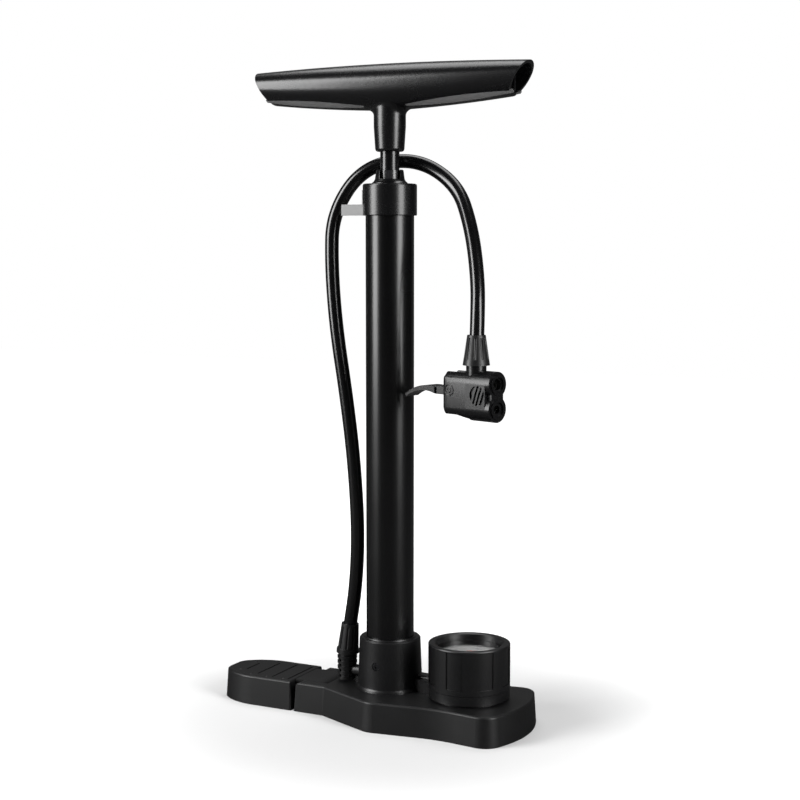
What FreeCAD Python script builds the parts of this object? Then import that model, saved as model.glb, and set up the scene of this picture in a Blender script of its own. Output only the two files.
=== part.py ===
"""Floor bike pump, modelled in millimetres.

The origin is on the barrel's axis at floor level.  +X runs along the base
towards the gauge, -X towards the fold-up foot pedal, -Y is the user's side
and +Z is up.  The handle is down and the foot pedal lies flat.
"""
import FreeCAD, Part
import math
import os

V = FreeCAD.Vector
UP = V(0, 0, 1)
DOWN = V(0, 0, -1)

# ---------------------------------------------------------------- clearances
RUN = 0.05            # radial clearance of a running fit
FACE = 0.1            # gap between faces of two moving bodies at a bearing
SLACK = 0.35          # gap between moulded faces of two moving bodies

# ---------------------------------------------------------------- base plate
BASE_H = 23.7
BASE_DRAFT = 1.6      # inward lean of the side walls over the base's height
BASE_WALL = 3.0
BASE_DECK = 3.5
BASE_EDGE = 1.5       # rounding of the deck's rim
EAR_X = -74.2         # end face of the two hinge ears
EAR_HALF = 27.9
EAR_NOSE = 6.5        # rounding of the ears' upper corner
CREASE_X = -47.1
SHOULDER_X, SHOULDER_HALF, SHOULDER_R = 4.5, 50.6, 18.0
WAIST_X, WAIST_HALF, WAIST_R = 62.0, 42.6, 110.0
TAIL_X, TAIL_HALF, TAIL_R = 107.5, 48.2, 15.0
TAIL_END_X, TAIL_END_HALF, TAIL_END_R = 119.2, 16.0, 90.0
RIB = 2.0
RIB_XS = (-24.0, 26.0, 62.0, 96.0)
RIB_FLOOR_GAP = 1.0

# ---------------------------------------------------------------- foot pedal
HINGE_X, PEDAL_ROLL_R = -58.0, 9.7
HINGE_Z = BASE_H - PEDAL_ROLL_R
HINGE_PIN_R = 3.0
HINGE_PIN_HALF = 24.8
TONGUE_HALF = 17.5
PEDAL_ROOT_X = -76.8
PEDAL_TIP_X = -150.0
PEDAL_HALF = 28.0
PEDAL_WALL = 3.0
GROOVES = ((-83.4, 20.7), (-98.4, 20.7), (-114.0, 17.7), (-129.5, 10.0))
GROOVE_W, GROOVE_D = 1.3, 0.8
STUDS = ((-87.3, 21.4), (-103.0, 21.6), (-118.5, 21.0), (-134.0, 12.5))
STUD_R, STUD_H = 1.2, 0.5

# ---------------------------------------------------------------- barrel and socket
BARREL_R = 19.0
BARREL_WALL = 1.25
BARREL_TOP = 416.0
SHELF_Z = BASE_H + 18.3             # the barrel stands on this shelf of its socket
SOCKET_TOP = SHELF_Z + 23.0
SOCKET_R_TOP, SOCKET_R_LOW = BARREL_R + 5.2, BARREL_R + 6.8
SOCKET_FOOT_R, SOCKET_FOOT_H = BARREL_R + 7.7, 1.4
SOCKET_LIP_R, SOCKET_LIP_H = BARREL_R + 1.6, 0.7
SPIGOT_R, SPIGOT_BOTTOM = 17.0, BASE_H - 9.7
CHAMBER_R, CHAMBER_FLOOR = 7.0, SHELF_Z - 15.0
DUCT_Z, DUCT_R = CHAMBER_FLOOR + 1.8, 1.5
DUCT_HALF, DUCT_TOP = 6.0, BASE_H + 9.8
DUCT_RIDGE_R = 3.0
ELBOW_X, ELBOW_Z = -39.2, 32.8
ELBOW_BOSS_R, ELBOW_STUB_R = 4.6, 4.2
ELBOW_BORE_R = 1.8
STUB_TOP = 36.4       # just under the hose's end
HOSE_R, HOSE_BORE_R = 5.5, 3.0
BARB_R, BARB_LEN, BARB_ROOT = HOSE_BORE_R - RUN, 12.0, 2.5
BARB_BORE_R = 1.6
GUSSET_T = 3.2
SOCKET_SCREW_Z = SHELF_Z + 3.2
SCREW_R = 1.5
SCREW_HEAD_R, SCREW_HEAD_H = 3.1, 1.8
BASE_SCREW_RING = BARREL_R + 2.8
BASE_SCREW_ANGLES = (45.0, 135.0, 225.0, 315.0)
BASE_SCREW_TOP = SHELF_Z - 6.0

# ---------------------------------------------------------------- foot valve
SEAT_TOP = SHELF_Z + 9.0
SEAT_SPIGOT_BOTTOM = SHELF_Z - 4.0
SEAT_BORE_R = 2.0
RING_Z, RING_H, RING_DEPTH = SHELF_Z + 5.6, 1.7, 1.8
POPPET_R, POPPET_T = 4.5, 2.5
POPPET_STEM_R, POPPET_STEM_BOTTOM = 1.2, CHAMBER_FLOOR + 4.0
SPRING_R, SPRING_WIRE, SPRING_TURNS, SPRING_STEPS = 2.6, 0.35, 4, 12

# ---------------------------------------------------------------- piston and rod
NUT_Z, NUT_H, NUT_R = SEAT_TOP + 1.0, 3.0, 6.0
WASHER_H, WASHER_R = 1.0, 8.0
PISTON_H = 12.0
PISTON_R_GAP = 0.35
SEAL_H, SEAL_DEPTH = 4.0, 3.4
ROD_R, ROD_WALL = 7.5, 1.5
STUD_ROD_R = 4.0
ROD_PLUG_H = 8.0

# ---------------------------------------------------------------- barrel cap and gland
CAP_R = BARREL_R + 2.2
CAP_BOTTOM, CAP_TOP = BARREL_TOP - 16.4, BARREL_TOP + 8.2
CAP_EDGE = 1.4
GLAND_R_LOW, GLAND_R_MID, GLAND_R_TOP = ROD_R + 6.4, ROD_R + 4.1, ROD_R + 3.2
GLAND_TOP = CAP_TOP + 10.8
GLAND_BORE_R = ROD_R + 1.1
GLAND_WINDOW_HALF, GLAND_WINDOW_Z = ROD_R + 0.3, CAP_TOP + 3.6
GLAND_WINDOW_TURN = 27.0
BUSH_FLANGE_R, BUSH_BOTTOM = ROD_R + 2.9, BARREL_TOP - 5.0
CLIP_Z, CLIP_H = CAP_BOTTOM + 0.2, 8.6
CLIP_TAB_T = 5.0
CLIP_ARM_T = 1.9
CLIP_OPEN = 30.0      # degrees left open at the arm's tip, short of a half circle
CLIP_PAD_T = 1.2
CLIP_PAD_TOP = CAP_TOP - 4.7

# ---------------------------------------------------------------- handle
NECK_BOTTOM = GLAND_TOP + 14.0
NECK_R_LOW, NECK_R_HIGH = ROD_R + 3.9, ROD_R + 5.0
NECK_MEET_Z = NECK_BOTTOM + 39.0
ROD_TOP = NECK_BOTTOM + 49.0
WING_HALF = 119.0
WING_TOP, WING_TOP_DROP = NECK_BOTTOM + 67.4, 2.6
WING_LOW, WING_LOW_RISE = NECK_BOTTOM + 31.6, 8.6
WING_DEPTH, WING_DEPTH_END = 19.0, 15.0     # half the front-to-back size
WING_OVERHANG = 3.0   # length past each end that the leaning faces cut off
WING_STATIONS = 9
END_LEAN = 30.0       # degrees that each end face leans inward at the bottom
POCKET_WALL = 2.6
POCKET_FROM = WING_HALF - 45.0
POCKET_RIB = 2.4
STRIP_FROM, STRIP_TO = 17.0, WING_HALF - 13.0
STRIP_HALF = 4.6
STRIP_SINK, STRIP_T = 0.5, 1.4
STRIP_TILT = 52.0     # degrees that the strips' outward direction points below level
FLARE_R = 6.0         # rounding where the neck meets the wing
HANDLE_SCREW_Z = NECK_BOTTOM + 19.0

# ---------------------------------------------------------------- gauge
GAUGE_X = 69.7
GAUGE_R = 32.1
GAUGE_RING_LOW, GAUGE_SEAM = BASE_H + 1.6, BASE_H + 8.8
GAUGE_TOP = BASE_H + 44.2
GAUGE_CUP_R, GAUGE_CUP_WALL = GAUGE_R - 3.1, 2.2
GAUGE_PLINTH_R = GAUGE_CUP_R
GAUGE_COVER_BORE = GAUGE_CUP_R + 0.1
GAUGE_FLOOR = BASE_H + 6.8
GAUGE_SCREW_RING = GAUGE_CUP_R - 7.0
RIM_R, RIM_UNDER = GAUGE_R - 6.1, GAUGE_TOP - 4.9
LENS_T = 1.8
DIAL_Z, DIAL_T = RIM_UNDER - 7.0, 1.0
FLUTES = 8
FLUTE_ANGLE, FLUTE_PHASE, FLUTE_DEPTH = 24.5, 2.5, 0.9
FLUTE_LOW, FLUTE_HIGH = BASE_H + 13.3, GAUGE_TOP - 1.7
SPINDLE_R = 0.9
SPINDLE_LOW, SPINDLE_TOP = BASE_H + 17.3, DIAL_Z + 3.4
NEEDLE_Z, NEEDLE_T, NEEDLE_REACH, NEEDLE_TAIL = DIAL_Z + 2.0, 0.7, GAUGE_CUP_R - 10.0, 6.0
NEEDLE_REST = 225.0   # degrees about +Z at zero pressure
COIL_LOW, COIL_H, COIL_T = DIAL_Z - 7.0, 4.5, 1.2
COIL_INNER, COIL_PITCH, COIL_HALF_TURNS = 5.0, 1.6, 5

# ---------------------------------------------------------------- hose and its sleeves
SLEEVE_R, SLEEVE_RIB_R = HOSE_R + 1.4, HOSE_R + 2.5
SLEEVE_LOW, SLEEVE_TOP = 25.6, 46.6
SLEEVE_RIBS = 5
BOOT_TOP = 71.0
BOOT_R_LOW, BOOT_R_TOP, BOOT_LIP_R = HOSE_R + 3.2, HOSE_R + 1.5, HOSE_R + 3.8
HEAD_BOOT_R_LOW, HEAD_BOOT_R_TOP = HOSE_R + 4.7, HOSE_R + 1.4
BOOT_FLUTES = 10
# the hose's route, from the elbow's stub up past the clip, behind the rod and down to the valve head
HOSE_ROUTE = (
    (-39.2, 0.0, 37.0), (-38.0, 0.0, 62.0), (-31.0, 0.0, 102.0), (-28.8, 0.0, 148.0),
    (-32.5, 0.0, 205.0), (-39.6, 0.0, 258.0), (-48.5, 0.0, 311.0), (-52.5, 0.0, 361.0),
    (-51.5, 0.5, 402.0), (-29.0, 10.0, 438.0), (12.0, 20.0, 445.0), (49.0, 19.0, 424.0),
    (70.0, 0.0, 390.0), (84.0, -19.0, 352.0), (90.0, -32.5, 322.0), (90.2, -34.9, 298.0),
)

# ---------------------------------------------------------------- valve head
HEAD_X, HEAD_Y, HEAD_Z = 90.2, -34.9, 265.9     # centre of the head's body, on the hose's end axis
HEAD_TURN = -18.0     # degrees about +Z from +X to the way the ports face
PORT_SPREAD = 9.25    # each port's height above or below the centre
LOBE_R = 9.7
HEAD_FACE = 21.0      # port end of the body
HEAD_REAR = -26.5
HEAD_EDGE = 3.5       # rounding of the body's rear part
HEAD_HALF = 9.4       # half the body's thickness
HEAD_NECK_R, HEAD_NECK_TOP = 7.6, 22.6
RECESS_S, RECESS_Z, RECESS_R, RECESS_DEPTH = 9.5, 1.0, 7.4, 1.3     # ribbed finger pad on each side
BOSS_OUTER, BOSS_INNER, BOSS_CORE, BOSS_DEPTH = 4.5, 3.6, 2.8, 0.6  # ring round the lever's pin
RETAINER_T = 4.0
PORT_TUBE_R = 6.4
SCHRADER_R, PRESTA_R = 4.1, 3.1
SEAL_LEN = 7.0
PIVOT_S, PIVOT_Z = -18.5, 3.4
LEVER_PIN_R = 1.6
LEVER_HALF = 5.2
LEVER_LEN = 49.3
SHANK_LEN, SHANK_TOP, SHANK_LOW = 19.0, 1.6, -4.4     # heights from the pivot
PADDLE_SIDE = 1.5     # how far the paddle stands out beyond the shank on each side
CAM_R = 6.0
PUSHER_GAP = 0.3
YOKE_T, YOKE_SIDE_GAP = 2.6, 0.4
CLAMP_TRAVEL = 1.5    # how far the yoke can move towards the seals


def cylinder(radius, start, end):
    """Round bar from one point to another."""
    start, end = V(*start), V(*end)
    return Part.makeCylinder(radius, (end - start).Length, start, end - start)


def upright(radius, low, high, x=0.0, y=0.0):
    """Round bar along +Z."""
    return cylinder(radius, (x, y, low), (x, y, high))


def tube(outer, inner, low, high, x=0.0, y=0.0):
    """Round sleeve along +Z."""
    return upright(outer, low, high, x, y).cut(upright(inner, low - 1, high + 1, x, y))


def cone(low_radius, high_radius, low, high, x=0.0, y=0.0):
    return Part.makeCone(low_radius, high_radius, high - low, V(x, y, low), UP)


def block(low, high):
    """Box between two corners."""
    return Part.makeBox(high[0] - low[0], high[1] - low[1], high[2] - low[2], V(*low))


def turned(profile, x=0.0, y=0.0):
    """Solid of revolution about an upright axis, from (radius, z) corners."""
    points = [V(x + r, y, z) for r, z in profile]
    face = Part.Face(Part.makePolygon(points + points[:1]))
    return face.revolve(V(x, y, 0), UP, 360)


def fused(first, *others):
    shape = first
    for other in others:
        shape = shape.fuse(other)
    return shape.removeSplitter()


def carved(shape, *tools):
    for tool in tools:
        shape = shape.cut(tool)
    return shape


def inset_corners(corners, inset):
    """Moves an outline of (x, y, radius) corners, taken counter-clockwise, inward by one distance."""
    moved = []
    count = len(corners)
    for i, (x, y, radius) in enumerate(corners):
        before, after = corners[i - 1], corners[(i + 1) % count]
        d1 = V(x - before[0], y - before[1], 0).normalize()
        d2 = V(after[0] - x, after[1] - y, 0).normalize()
        n1, n2 = V(-d1.y, d1.x, 0), V(-d2.y, d2.x, 0)
        across = d1.x * d2.y - d1.y * d2.x
        shift = (n1 + n2) * (inset / (1 + n1.dot(n2)))
        new_radius = radius - inset if across > 0 else radius + inset
        moved.append((x + shift.x, y + shift.y, max(new_radius, 0.3)))
    return moved


def outline(corners, z):
    """Closed wire of straight sides and tangent arcs through (x, y, radius) corners."""
    count = len(corners)
    starts, arcs, ends = [], [], []
    for i, (x, y, radius) in enumerate(corners):
        corner = V(x, y, z)
        before, after = corners[i - 1], corners[(i + 1) % count]
        d1 = (corner - V(before[0], before[1], z)).normalize()
        d2 = (V(after[0], after[1], z) - corner).normalize()
        turn = d1.getAngle(d2)
        reach = radius * math.tan(turn / 2)
        bisector = (d2 - d1).normalize()
        middle = corner + bisector * (radius / math.cos(turn / 2) - radius)
        start, end = corner - d1 * reach, corner + d2 * reach
        starts.append(start)
        ends.append(end)
        arcs.append(Part.Arc(start, middle, end).toShape())
    edges = []
    for i in range(count):
        edges.append(arcs[i])
        edges.append(Part.LineSegment(ends[i], starts[(i + 1) % count]).toShape())
    return Part.Wire(edges)


def drafted(corners, low, high, rounding=0.0):
    """Solid with leaning walls, inset in proportion to height, whose upper rim may be rounded."""
    levels = [(low, 0.0), (high - rounding, 0.0)]
    for angle in (30, 60, 90):
        if rounding:
            radians = math.radians(angle)
            levels.append((high - rounding * (1 - math.sin(radians)), rounding * (1 - math.cos(radians))))
    wires = [outline(inset_corners(corners, BASE_DRAFT * z / BASE_H + extra), z) for z, extra in levels]
    return Part.makeLoft(wires, True, True)


def mirrored_outline(half):
    """Full counter-clockwise outline from the corners of its +Y half, listed from +X to -X."""
    lower = [(x, -y, r) for x, y, r in reversed(half)]
    return list(half) + lower


# ================================================================ base plate
def base_corners():
    half = [
        (TAIL_END_X, TAIL_END_HALF, TAIL_END_R),
        (TAIL_X, TAIL_HALF, TAIL_R),
        (WAIST_X, WAIST_HALF, WAIST_R),
        (SHOULDER_X, SHOULDER_HALF, SHOULDER_R),
        (CREASE_X, EAR_HALF, 2.0),
        (EAR_X, EAR_HALF, 1.5),
    ]
    return mirrored_outline(half)


def base_plate():
    """Hollow moulding open below, with ribs and two hinge ears."""
    corners = base_corners()
    body = drafted(corners, 0, BASE_H, BASE_EDGE)
    cavity_top = BASE_H - BASE_DECK
    cavity = drafted(inset_corners(corners, BASE_WALL), -1, cavity_top)
    hinge_wall_x = HINGE_X + PEDAL_ROLL_R + 2 * SLACK + BASE_WALL
    cavity = cavity.cut(block((EAR_X - 5, -60, -5), (hinge_wall_x, 60, BASE_H)))
    body = body.cut(cavity)
    ribs = [block((hinge_wall_x - 1, -RIB / 2, RIB_FLOOR_GAP), (TAIL_END_X - 1, RIB / 2, BASE_H))]
    for x in RIB_XS:
        ribs.append(block((x - RIB / 2, -60, RIB_FLOOR_GAP), (x + RIB / 2, 60, BASE_H)))
    ribs.append(upright(SPIGOT_R + RUN + RIB, RIB_FLOOR_GAP, BASE_H))
    for x, y in gauge_screw_places():
        ribs.append(upright(4.0, RIB_FLOOR_GAP, BASE_H, x, y))
    inside = cavity.common(block((-200, -60, 0), (200, 60, BASE_H)))
    body = fused(body, *[rib.common(inside) for rib in ribs])
    body = carved(body, upright(SPIGOT_R + RUN, -1, BASE_H + 1))
    body = carved(body, *[upright(SCREW_R, SPIGOT_BOTTOM, BASE_H + 1, x, y)
                          for x, y in base_screw_places()])
    body = carved(body, *[upright(SCREW_HEAD_R + 0.2, -1, base_screw_head_top(), x, y)
                          for x, y in base_screw_places()])
    body = carved(body, *[upright(SCREW_R, -1, BASE_H + 1, x, y) for x, y in gauge_screw_places()])
    body = carved(body, *[upright(SCREW_HEAD_R + 0.2, -1, gauge_screw_head_top(), x, y)
                          for x, y in gauge_screw_places()])
    notch_end = HINGE_X + PEDAL_ROLL_R + 2 * SLACK
    notch_half = TONGUE_HALF + SLACK
    body = body.cut(block((EAR_X - 5, -notch_half, -1), (notch_end, notch_half, BASE_H + 1)))
    nose = block((EAR_X - 5, -60, BASE_H - EAR_NOSE), (EAR_X + EAR_NOSE, 60, BASE_H + 1))
    nose = nose.cut(cylinder(EAR_NOSE, (EAR_X + EAR_NOSE, -61, BASE_H - EAR_NOSE),
                             (EAR_X + EAR_NOSE, 61, BASE_H - EAR_NOSE)))
    return body.cut(nose).cut(hinge_pin())


def base_screw_places():
    return [(BASE_SCREW_RING * math.cos(math.radians(a)), BASE_SCREW_RING * math.sin(math.radians(a)))
            for a in BASE_SCREW_ANGLES]


def base_screw_head_top():
    return BASE_H - BASE_DECK


def gauge_screw_places():
    return [(GAUGE_X + GAUGE_SCREW_RING * math.cos(math.radians(a)),
             GAUGE_SCREW_RING * math.sin(math.radians(a)))
            for a in (60.0, 180.0, 300.0)]


def gauge_screw_head_top():
    return BASE_H - BASE_DECK - 6.0


def cross_screw(head, direction, length, head_height=SCREW_HEAD_H):
    """Pan-head screw with a cross recess: head is the centre of its outer face."""
    way = V(*direction).normalize()
    top = V(*head)
    under = top + way * head_height
    shape = Part.makeCylinder(SCREW_HEAD_R, head_height, top, way)
    shape = shape.fuse(Part.makeCylinder(SCREW_R, length, under, way))
    side = way.cross(UP) if abs(way.z) < 0.9 else V(1, 0, 0)
    other = way.cross(side)
    for a, b in ((side, other), (other, side)):
        slot = Part.makeBox(3.8, 0.9, 1.1)
        slot.translate(V(-1.9, -0.45, 0))
        matrix = FreeCAD.Matrix(a.x, b.x, way.x, top.x, a.y, b.y, way.y, top.y,
                                a.z, b.z, way.z, top.z, 0, 0, 0, 1)
        shape = shape.cut(slot.transformGeometry(matrix))
    return shape


def base_screws():
    head_low = base_screw_head_top() - SCREW_HEAD_H
    return [cross_screw((x, y, head_low), (0, 0, 1), BASE_SCREW_TOP - base_screw_head_top())
            for x, y in base_screw_places()]


def gauge_screws():
    head_low = gauge_screw_head_top() - SCREW_HEAD_H
    return [cross_screw((x, y, head_low), (0, 0, 1), GAUGE_FLOOR - 1 - gauge_screw_head_top())
            for x, y in gauge_screw_places()]


# ================================================================ foot pedal
def pedal_corners():
    half = [
        (PEDAL_ROOT_X, PEDAL_HALF, 1.5),
        (PEDAL_TIP_X + 18.0, PEDAL_HALF, 46.0),
        (PEDAL_TIP_X, PEDAL_HALF - 16.0, 14.0),
    ]
    return mirrored_outline(half)


def foot_pedal():
    """Tread plate with a tongue that rolls round the hinge pin."""
    corners = pedal_corners()
    body = drafted(corners, 0, BASE_H, BASE_EDGE)
    cavity = drafted(inset_corners(corners, PEDAL_WALL), -1, BASE_H - BASE_DECK)
    body = body.cut(cavity)
    inside = cavity.common(block((-200, -60, 0), (0, 60, BASE_H)))
    ribs = [block((PEDAL_TIP_X, -RIB / 2, RIB_FLOOR_GAP), (PEDAL_ROOT_X, RIB / 2, BASE_H))]
    for x, _ in GROOVES[1::2]:
        ribs.append(block((x - RIB / 2, -60, RIB_FLOOR_GAP), (x + RIB / 2, 60, BASE_H)))
    body = fused(body, *[rib.common(inside) for rib in ribs])
    tongue = block((PEDAL_ROOT_X - 1, -TONGUE_HALF, HINGE_Z - 5), (HINGE_X, TONGUE_HALF, BASE_H))
    roll = cylinder(PEDAL_ROLL_R, (HINGE_X, -TONGUE_HALF, HINGE_Z), (HINGE_X, TONGUE_HALF, HINGE_Z))
    body = fused(body, tongue.cut(inside), roll)
    for x, half in GROOVES:
        body = body.cut(block((x - GROOVE_W / 2, -half, BASE_H - GROOVE_D),
                              (x + GROOVE_W / 2, half, BASE_H + 1)))
    for x, y in STUDS:
        for side in (-1, 1):
            body = body.fuse(cone(STUD_R, STUD_R * 0.6, BASE_H - 0.5, BASE_H + STUD_H, x, side * y))
    bore = cylinder(HINGE_PIN_R + RUN, (HINGE_X, -40, HINGE_Z), (HINGE_X, 40, HINGE_Z))
    return body.cut(bore)


def hinge_pin():
    return cylinder(HINGE_PIN_R, (HINGE_X, -HINGE_PIN_HALF, HINGE_Z), (HINGE_X, HINGE_PIN_HALF, HINGE_Z))


# ================================================================ barrel socket
def barb_at(start, beyond, radius, length):
    """Spigot that the hose is pushed over, rooted a little behind the hose's end and in line with it."""
    way = (V(*beyond) - V(*start)).normalize()
    return Part.makeCylinder(radius, length + BARB_ROOT, V(*start) - way * BARB_ROOT, way)


def elbow_air_way():
    """Bore from the chamber out to the elbow and up through the barb."""
    across = cylinder(ELBOW_BORE_R, (0, 0, ELBOW_Z), (ELBOW_X, 0, ELBOW_Z))
    rise = upright(ELBOW_BORE_R, ELBOW_Z, STUB_TOP - 1, ELBOW_X)
    return fused(across, rise, barb_at(HOSE_ROUTE[0], HOSE_ROUTE[1], BARB_BORE_R, BARB_LEN + 1))


def barrel_socket():
    """Moulded foot of the barrel, with the hose elbow on one side and the gauge's duct on the other."""
    body = turned([
        (0, BASE_H), (SOCKET_FOOT_R, BASE_H), (SOCKET_FOOT_R - 0.3, BASE_H + SOCKET_FOOT_H),
        (SOCKET_R_LOW, BASE_H + 2 * SOCKET_FOOT_H), (SOCKET_R_TOP + 0.2, SOCKET_TOP - 1.2),
        (SOCKET_R_TOP - 0.8, SOCKET_TOP), (SOCKET_LIP_R + 0.3, SOCKET_TOP),
        (SOCKET_LIP_R, SOCKET_TOP + SOCKET_LIP_H), (0, SOCKET_TOP + SOCKET_LIP_H)])
    spigot = upright(SPIGOT_R, SPIGOT_BOTTOM, BASE_H + 1)
    boss = cylinder(ELBOW_BOSS_R, (-SOCKET_R_TOP + 4, 0, ELBOW_Z), (ELBOW_X, 0, ELBOW_Z))
    knuckle = Part.makeSphere(ELBOW_BOSS_R, V(ELBOW_X, 0, ELBOW_Z))
    stub = upright(ELBOW_STUB_R, ELBOW_Z, STUB_TOP, ELBOW_X)
    barb = barb_at(HOSE_ROUTE[0], HOSE_ROUTE[1], BARB_R, BARB_LEN)
    gusset = block((ELBOW_X + SLEEVE_RIB_R + 0.3, -GUSSET_T / 2, BASE_H),
                   (-SOCKET_R_TOP + 4, GUSSET_T / 2, ELBOW_Z))
    duct_end = GAUGE_X - GAUGE_R + 4
    duct = block((SOCKET_R_TOP - 4, -DUCT_HALF, BASE_H), (duct_end, DUCT_HALF, DUCT_TOP))
    ridge = cylinder(DUCT_RIDGE_R, (SOCKET_R_TOP - 4, 0, DUCT_TOP), (duct_end, 0, DUCT_TOP))
    duct = duct.fuse(ridge).cut(upright(GAUGE_R + RUN, 0, GAUGE_TOP, GAUGE_X))
    body = fused(body, spigot, boss, knuckle, stub, barb, gusset, duct)
    body = carved(
        body,
        upright(BARREL_R + RUN, SHELF_Z, SOCKET_TOP + 5),
        upright(CHAMBER_R, CHAMBER_FLOOR, SHELF_Z + 1),
        tube(SPIGOT_R - 3, CHAMBER_R + 3, SPIGOT_BOTTOM - 1, BASE_H - 2),
        elbow_air_way(),
        cylinder(DUCT_R, (0, 0, DUCT_Z), (duct_end, 0, DUCT_Z)))
    body = carved(body, *[upright(SCREW_R, BASE_H - 1, BASE_SCREW_TOP, x, y)
                          for x, y in base_screw_places()])
    return carved(body, *socket_screw_bores())


def socket_screw_bores():
    bores = []
    for side in (-1, 1):
        bores.append(cylinder(SCREW_R, (0, 0, SOCKET_SCREW_Z), (0, side * 40, SOCKET_SCREW_Z)))
        bores.append(cylinder(SCREW_HEAD_R + 0.3, (0, side * (SOCKET_R_TOP - 1.5), SOCKET_SCREW_Z),
                              (0, side * 40, SOCKET_SCREW_Z)))
    return bores


def socket_screws():
    """The two screws that pin the barrel and the valve seat in the socket."""
    face = SOCKET_R_TOP + 0.3
    return [cross_screw((0, side * face, SOCKET_SCREW_Z), (0, -side, 0), 10.0) for side in (-1, 1)]


# ================================================================ barrel and foot valve
def barrel_tube():
    body = tube(BARREL_R, BARREL_R - BARREL_WALL, SHELF_Z, BARREL_TOP)
    return carved(body, *[cylinder(SCREW_R, (0, 0, SOCKET_SCREW_Z), (0, side * 40, SOCKET_SCREW_Z))
                          for side in (-1, 1)])


def seat_ring():
    bore = BARREL_R - BARREL_WALL
    return tube(bore, bore - RING_DEPTH, RING_Z, RING_Z + RING_H)


def foot_valve_seat():
    bore = BARREL_R - BARREL_WALL
    body = fused(upright(bore - RUN, SHELF_Z, SEAT_TOP),
                 upright(CHAMBER_R - RUN, SEAT_SPIGOT_BOTTOM, SHELF_Z))
    groove = tube(bore + 1, bore - RING_DEPTH, RING_Z, RING_Z + RING_H)
    body = carved(body, groove, upright(SEAT_BORE_R, 0, SEAT_TOP + 1),
                  upright(7.0, SEAT_TOP - 1.5, SEAT_TOP + 1))
    return carved(body, *[cylinder(SCREW_R, (0, side * (SOCKET_R_TOP + 0.3 - SCREW_HEAD_H - 10.0), SOCKET_SCREW_Z),
                                   (0, side * 40, SOCKET_SCREW_Z)) for side in (-1, 1)])


def valve_poppet():
    top = SEAT_SPIGOT_BOTTOM - FACE
    return fused(upright(POPPET_R, top - POPPET_T, top),
                 upright(POPPET_STEM_R, POPPET_STEM_BOTTOM, top - POPPET_T + 0.5))


def valve_spring():
    """Compression spring that holds the poppet against its seat."""
    top = SEAT_SPIGOT_BOTTOM - FACE - POPPET_T - FACE
    low = CHAMBER_FLOOR + SPRING_WIRE
    height = top - SPRING_WIRE - low
    steps = SPRING_TURNS * SPRING_STEPS
    points = [V(SPRING_R * math.cos(2 * math.pi * i / SPRING_STEPS),
                SPRING_R * math.sin(2 * math.pi * i / SPRING_STEPS),
                low + height * i / steps) for i in range(steps + 1)]
    curve = Part.BSplineCurve()
    curve.interpolate(points)
    section = Part.Wire(Part.makeCircle(SPRING_WIRE, points[0], curve.tangent(0)[0]))
    return Part.Wire(curve.toShape()).makePipeShell([section], True, True)


# ================================================================ piston and rod
def piston_low():
    return NUT_Z + NUT_H + WASHER_H + FACE


def piston_head():
    bore = BARREL_R - BARREL_WALL
    low = piston_low()
    seal_low = low + (PISTON_H - SEAL_H) / 2
    groove = tube(bore + 1, bore - SEAL_DEPTH, seal_low, seal_low + SEAL_H)
    return carved(upright(bore - PISTON_R_GAP, low, low + PISTON_H), groove,
                  upright(STUD_ROD_R + RUN, low - 1, low + PISTON_H + 1))


def piston_seal():
    bore = BARREL_R - BARREL_WALL
    seal_low = piston_low() + (PISTON_H - SEAL_H) / 2
    return tube(bore - RUN, bore - SEAL_DEPTH, seal_low, seal_low + SEAL_H)


def piston_rod():
    shoulder = piston_low() + PISTON_H + FACE
    return fused(tube(ROD_R, ROD_R - ROD_WALL, shoulder, ROD_TOP),
                 upright(ROD_R, shoulder, shoulder + ROD_PLUG_H),
                 upright(STUD_ROD_R, NUT_Z, shoulder + 1))


def piston_washer():
    return tube(WASHER_R, STUD_ROD_R, NUT_Z + NUT_H, NUT_Z + NUT_H + WASHER_H)


def piston_nut():
    points = [V(NUT_R * math.cos(math.radians(a)), NUT_R * math.sin(math.radians(a)), NUT_Z)
              for a in range(0, 360, 60)]
    hexagon = Part.Face(Part.makePolygon(points + points[:1])).extrude(V(0, 0, NUT_H))
    return hexagon.cut(upright(STUD_ROD_R, NUT_Z - 1, NUT_Z + NUT_H + 1))


# ================================================================ cap, gland and hose clip
def barrel_cap():
    body = turned([
        (0, CAP_BOTTOM), (CAP_R - 0.4, CAP_BOTTOM), (CAP_R, CAP_BOTTOM + 0.6),
        (CAP_R, CAP_TOP - CAP_EDGE), (CAP_R - 0.4, CAP_TOP - 0.4),
        (CAP_R - CAP_EDGE, CAP_TOP), (0, CAP_TOP)])
    return carved(body, upright(BARREL_R + RUN, CAP_BOTTOM - 1, BARREL_TOP),
                  upright(BUSH_FLANGE_R, BARREL_TOP - 2, CAP_TOP + 1))


def rod_bush():
    """Bearing sleeve of the rod: a flanged bush whose upper end shows through the gland's window."""
    body = fused(upright(BUSH_FLANGE_R, BUSH_BOTTOM, CAP_TOP),
                 upright(GLAND_BORE_R, CAP_TOP - 1, GLAND_TOP - 0.6))
    return body.cut(upright(ROD_R + RUN, BUSH_BOTTOM - 1, GLAND_TOP + 1))


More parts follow.
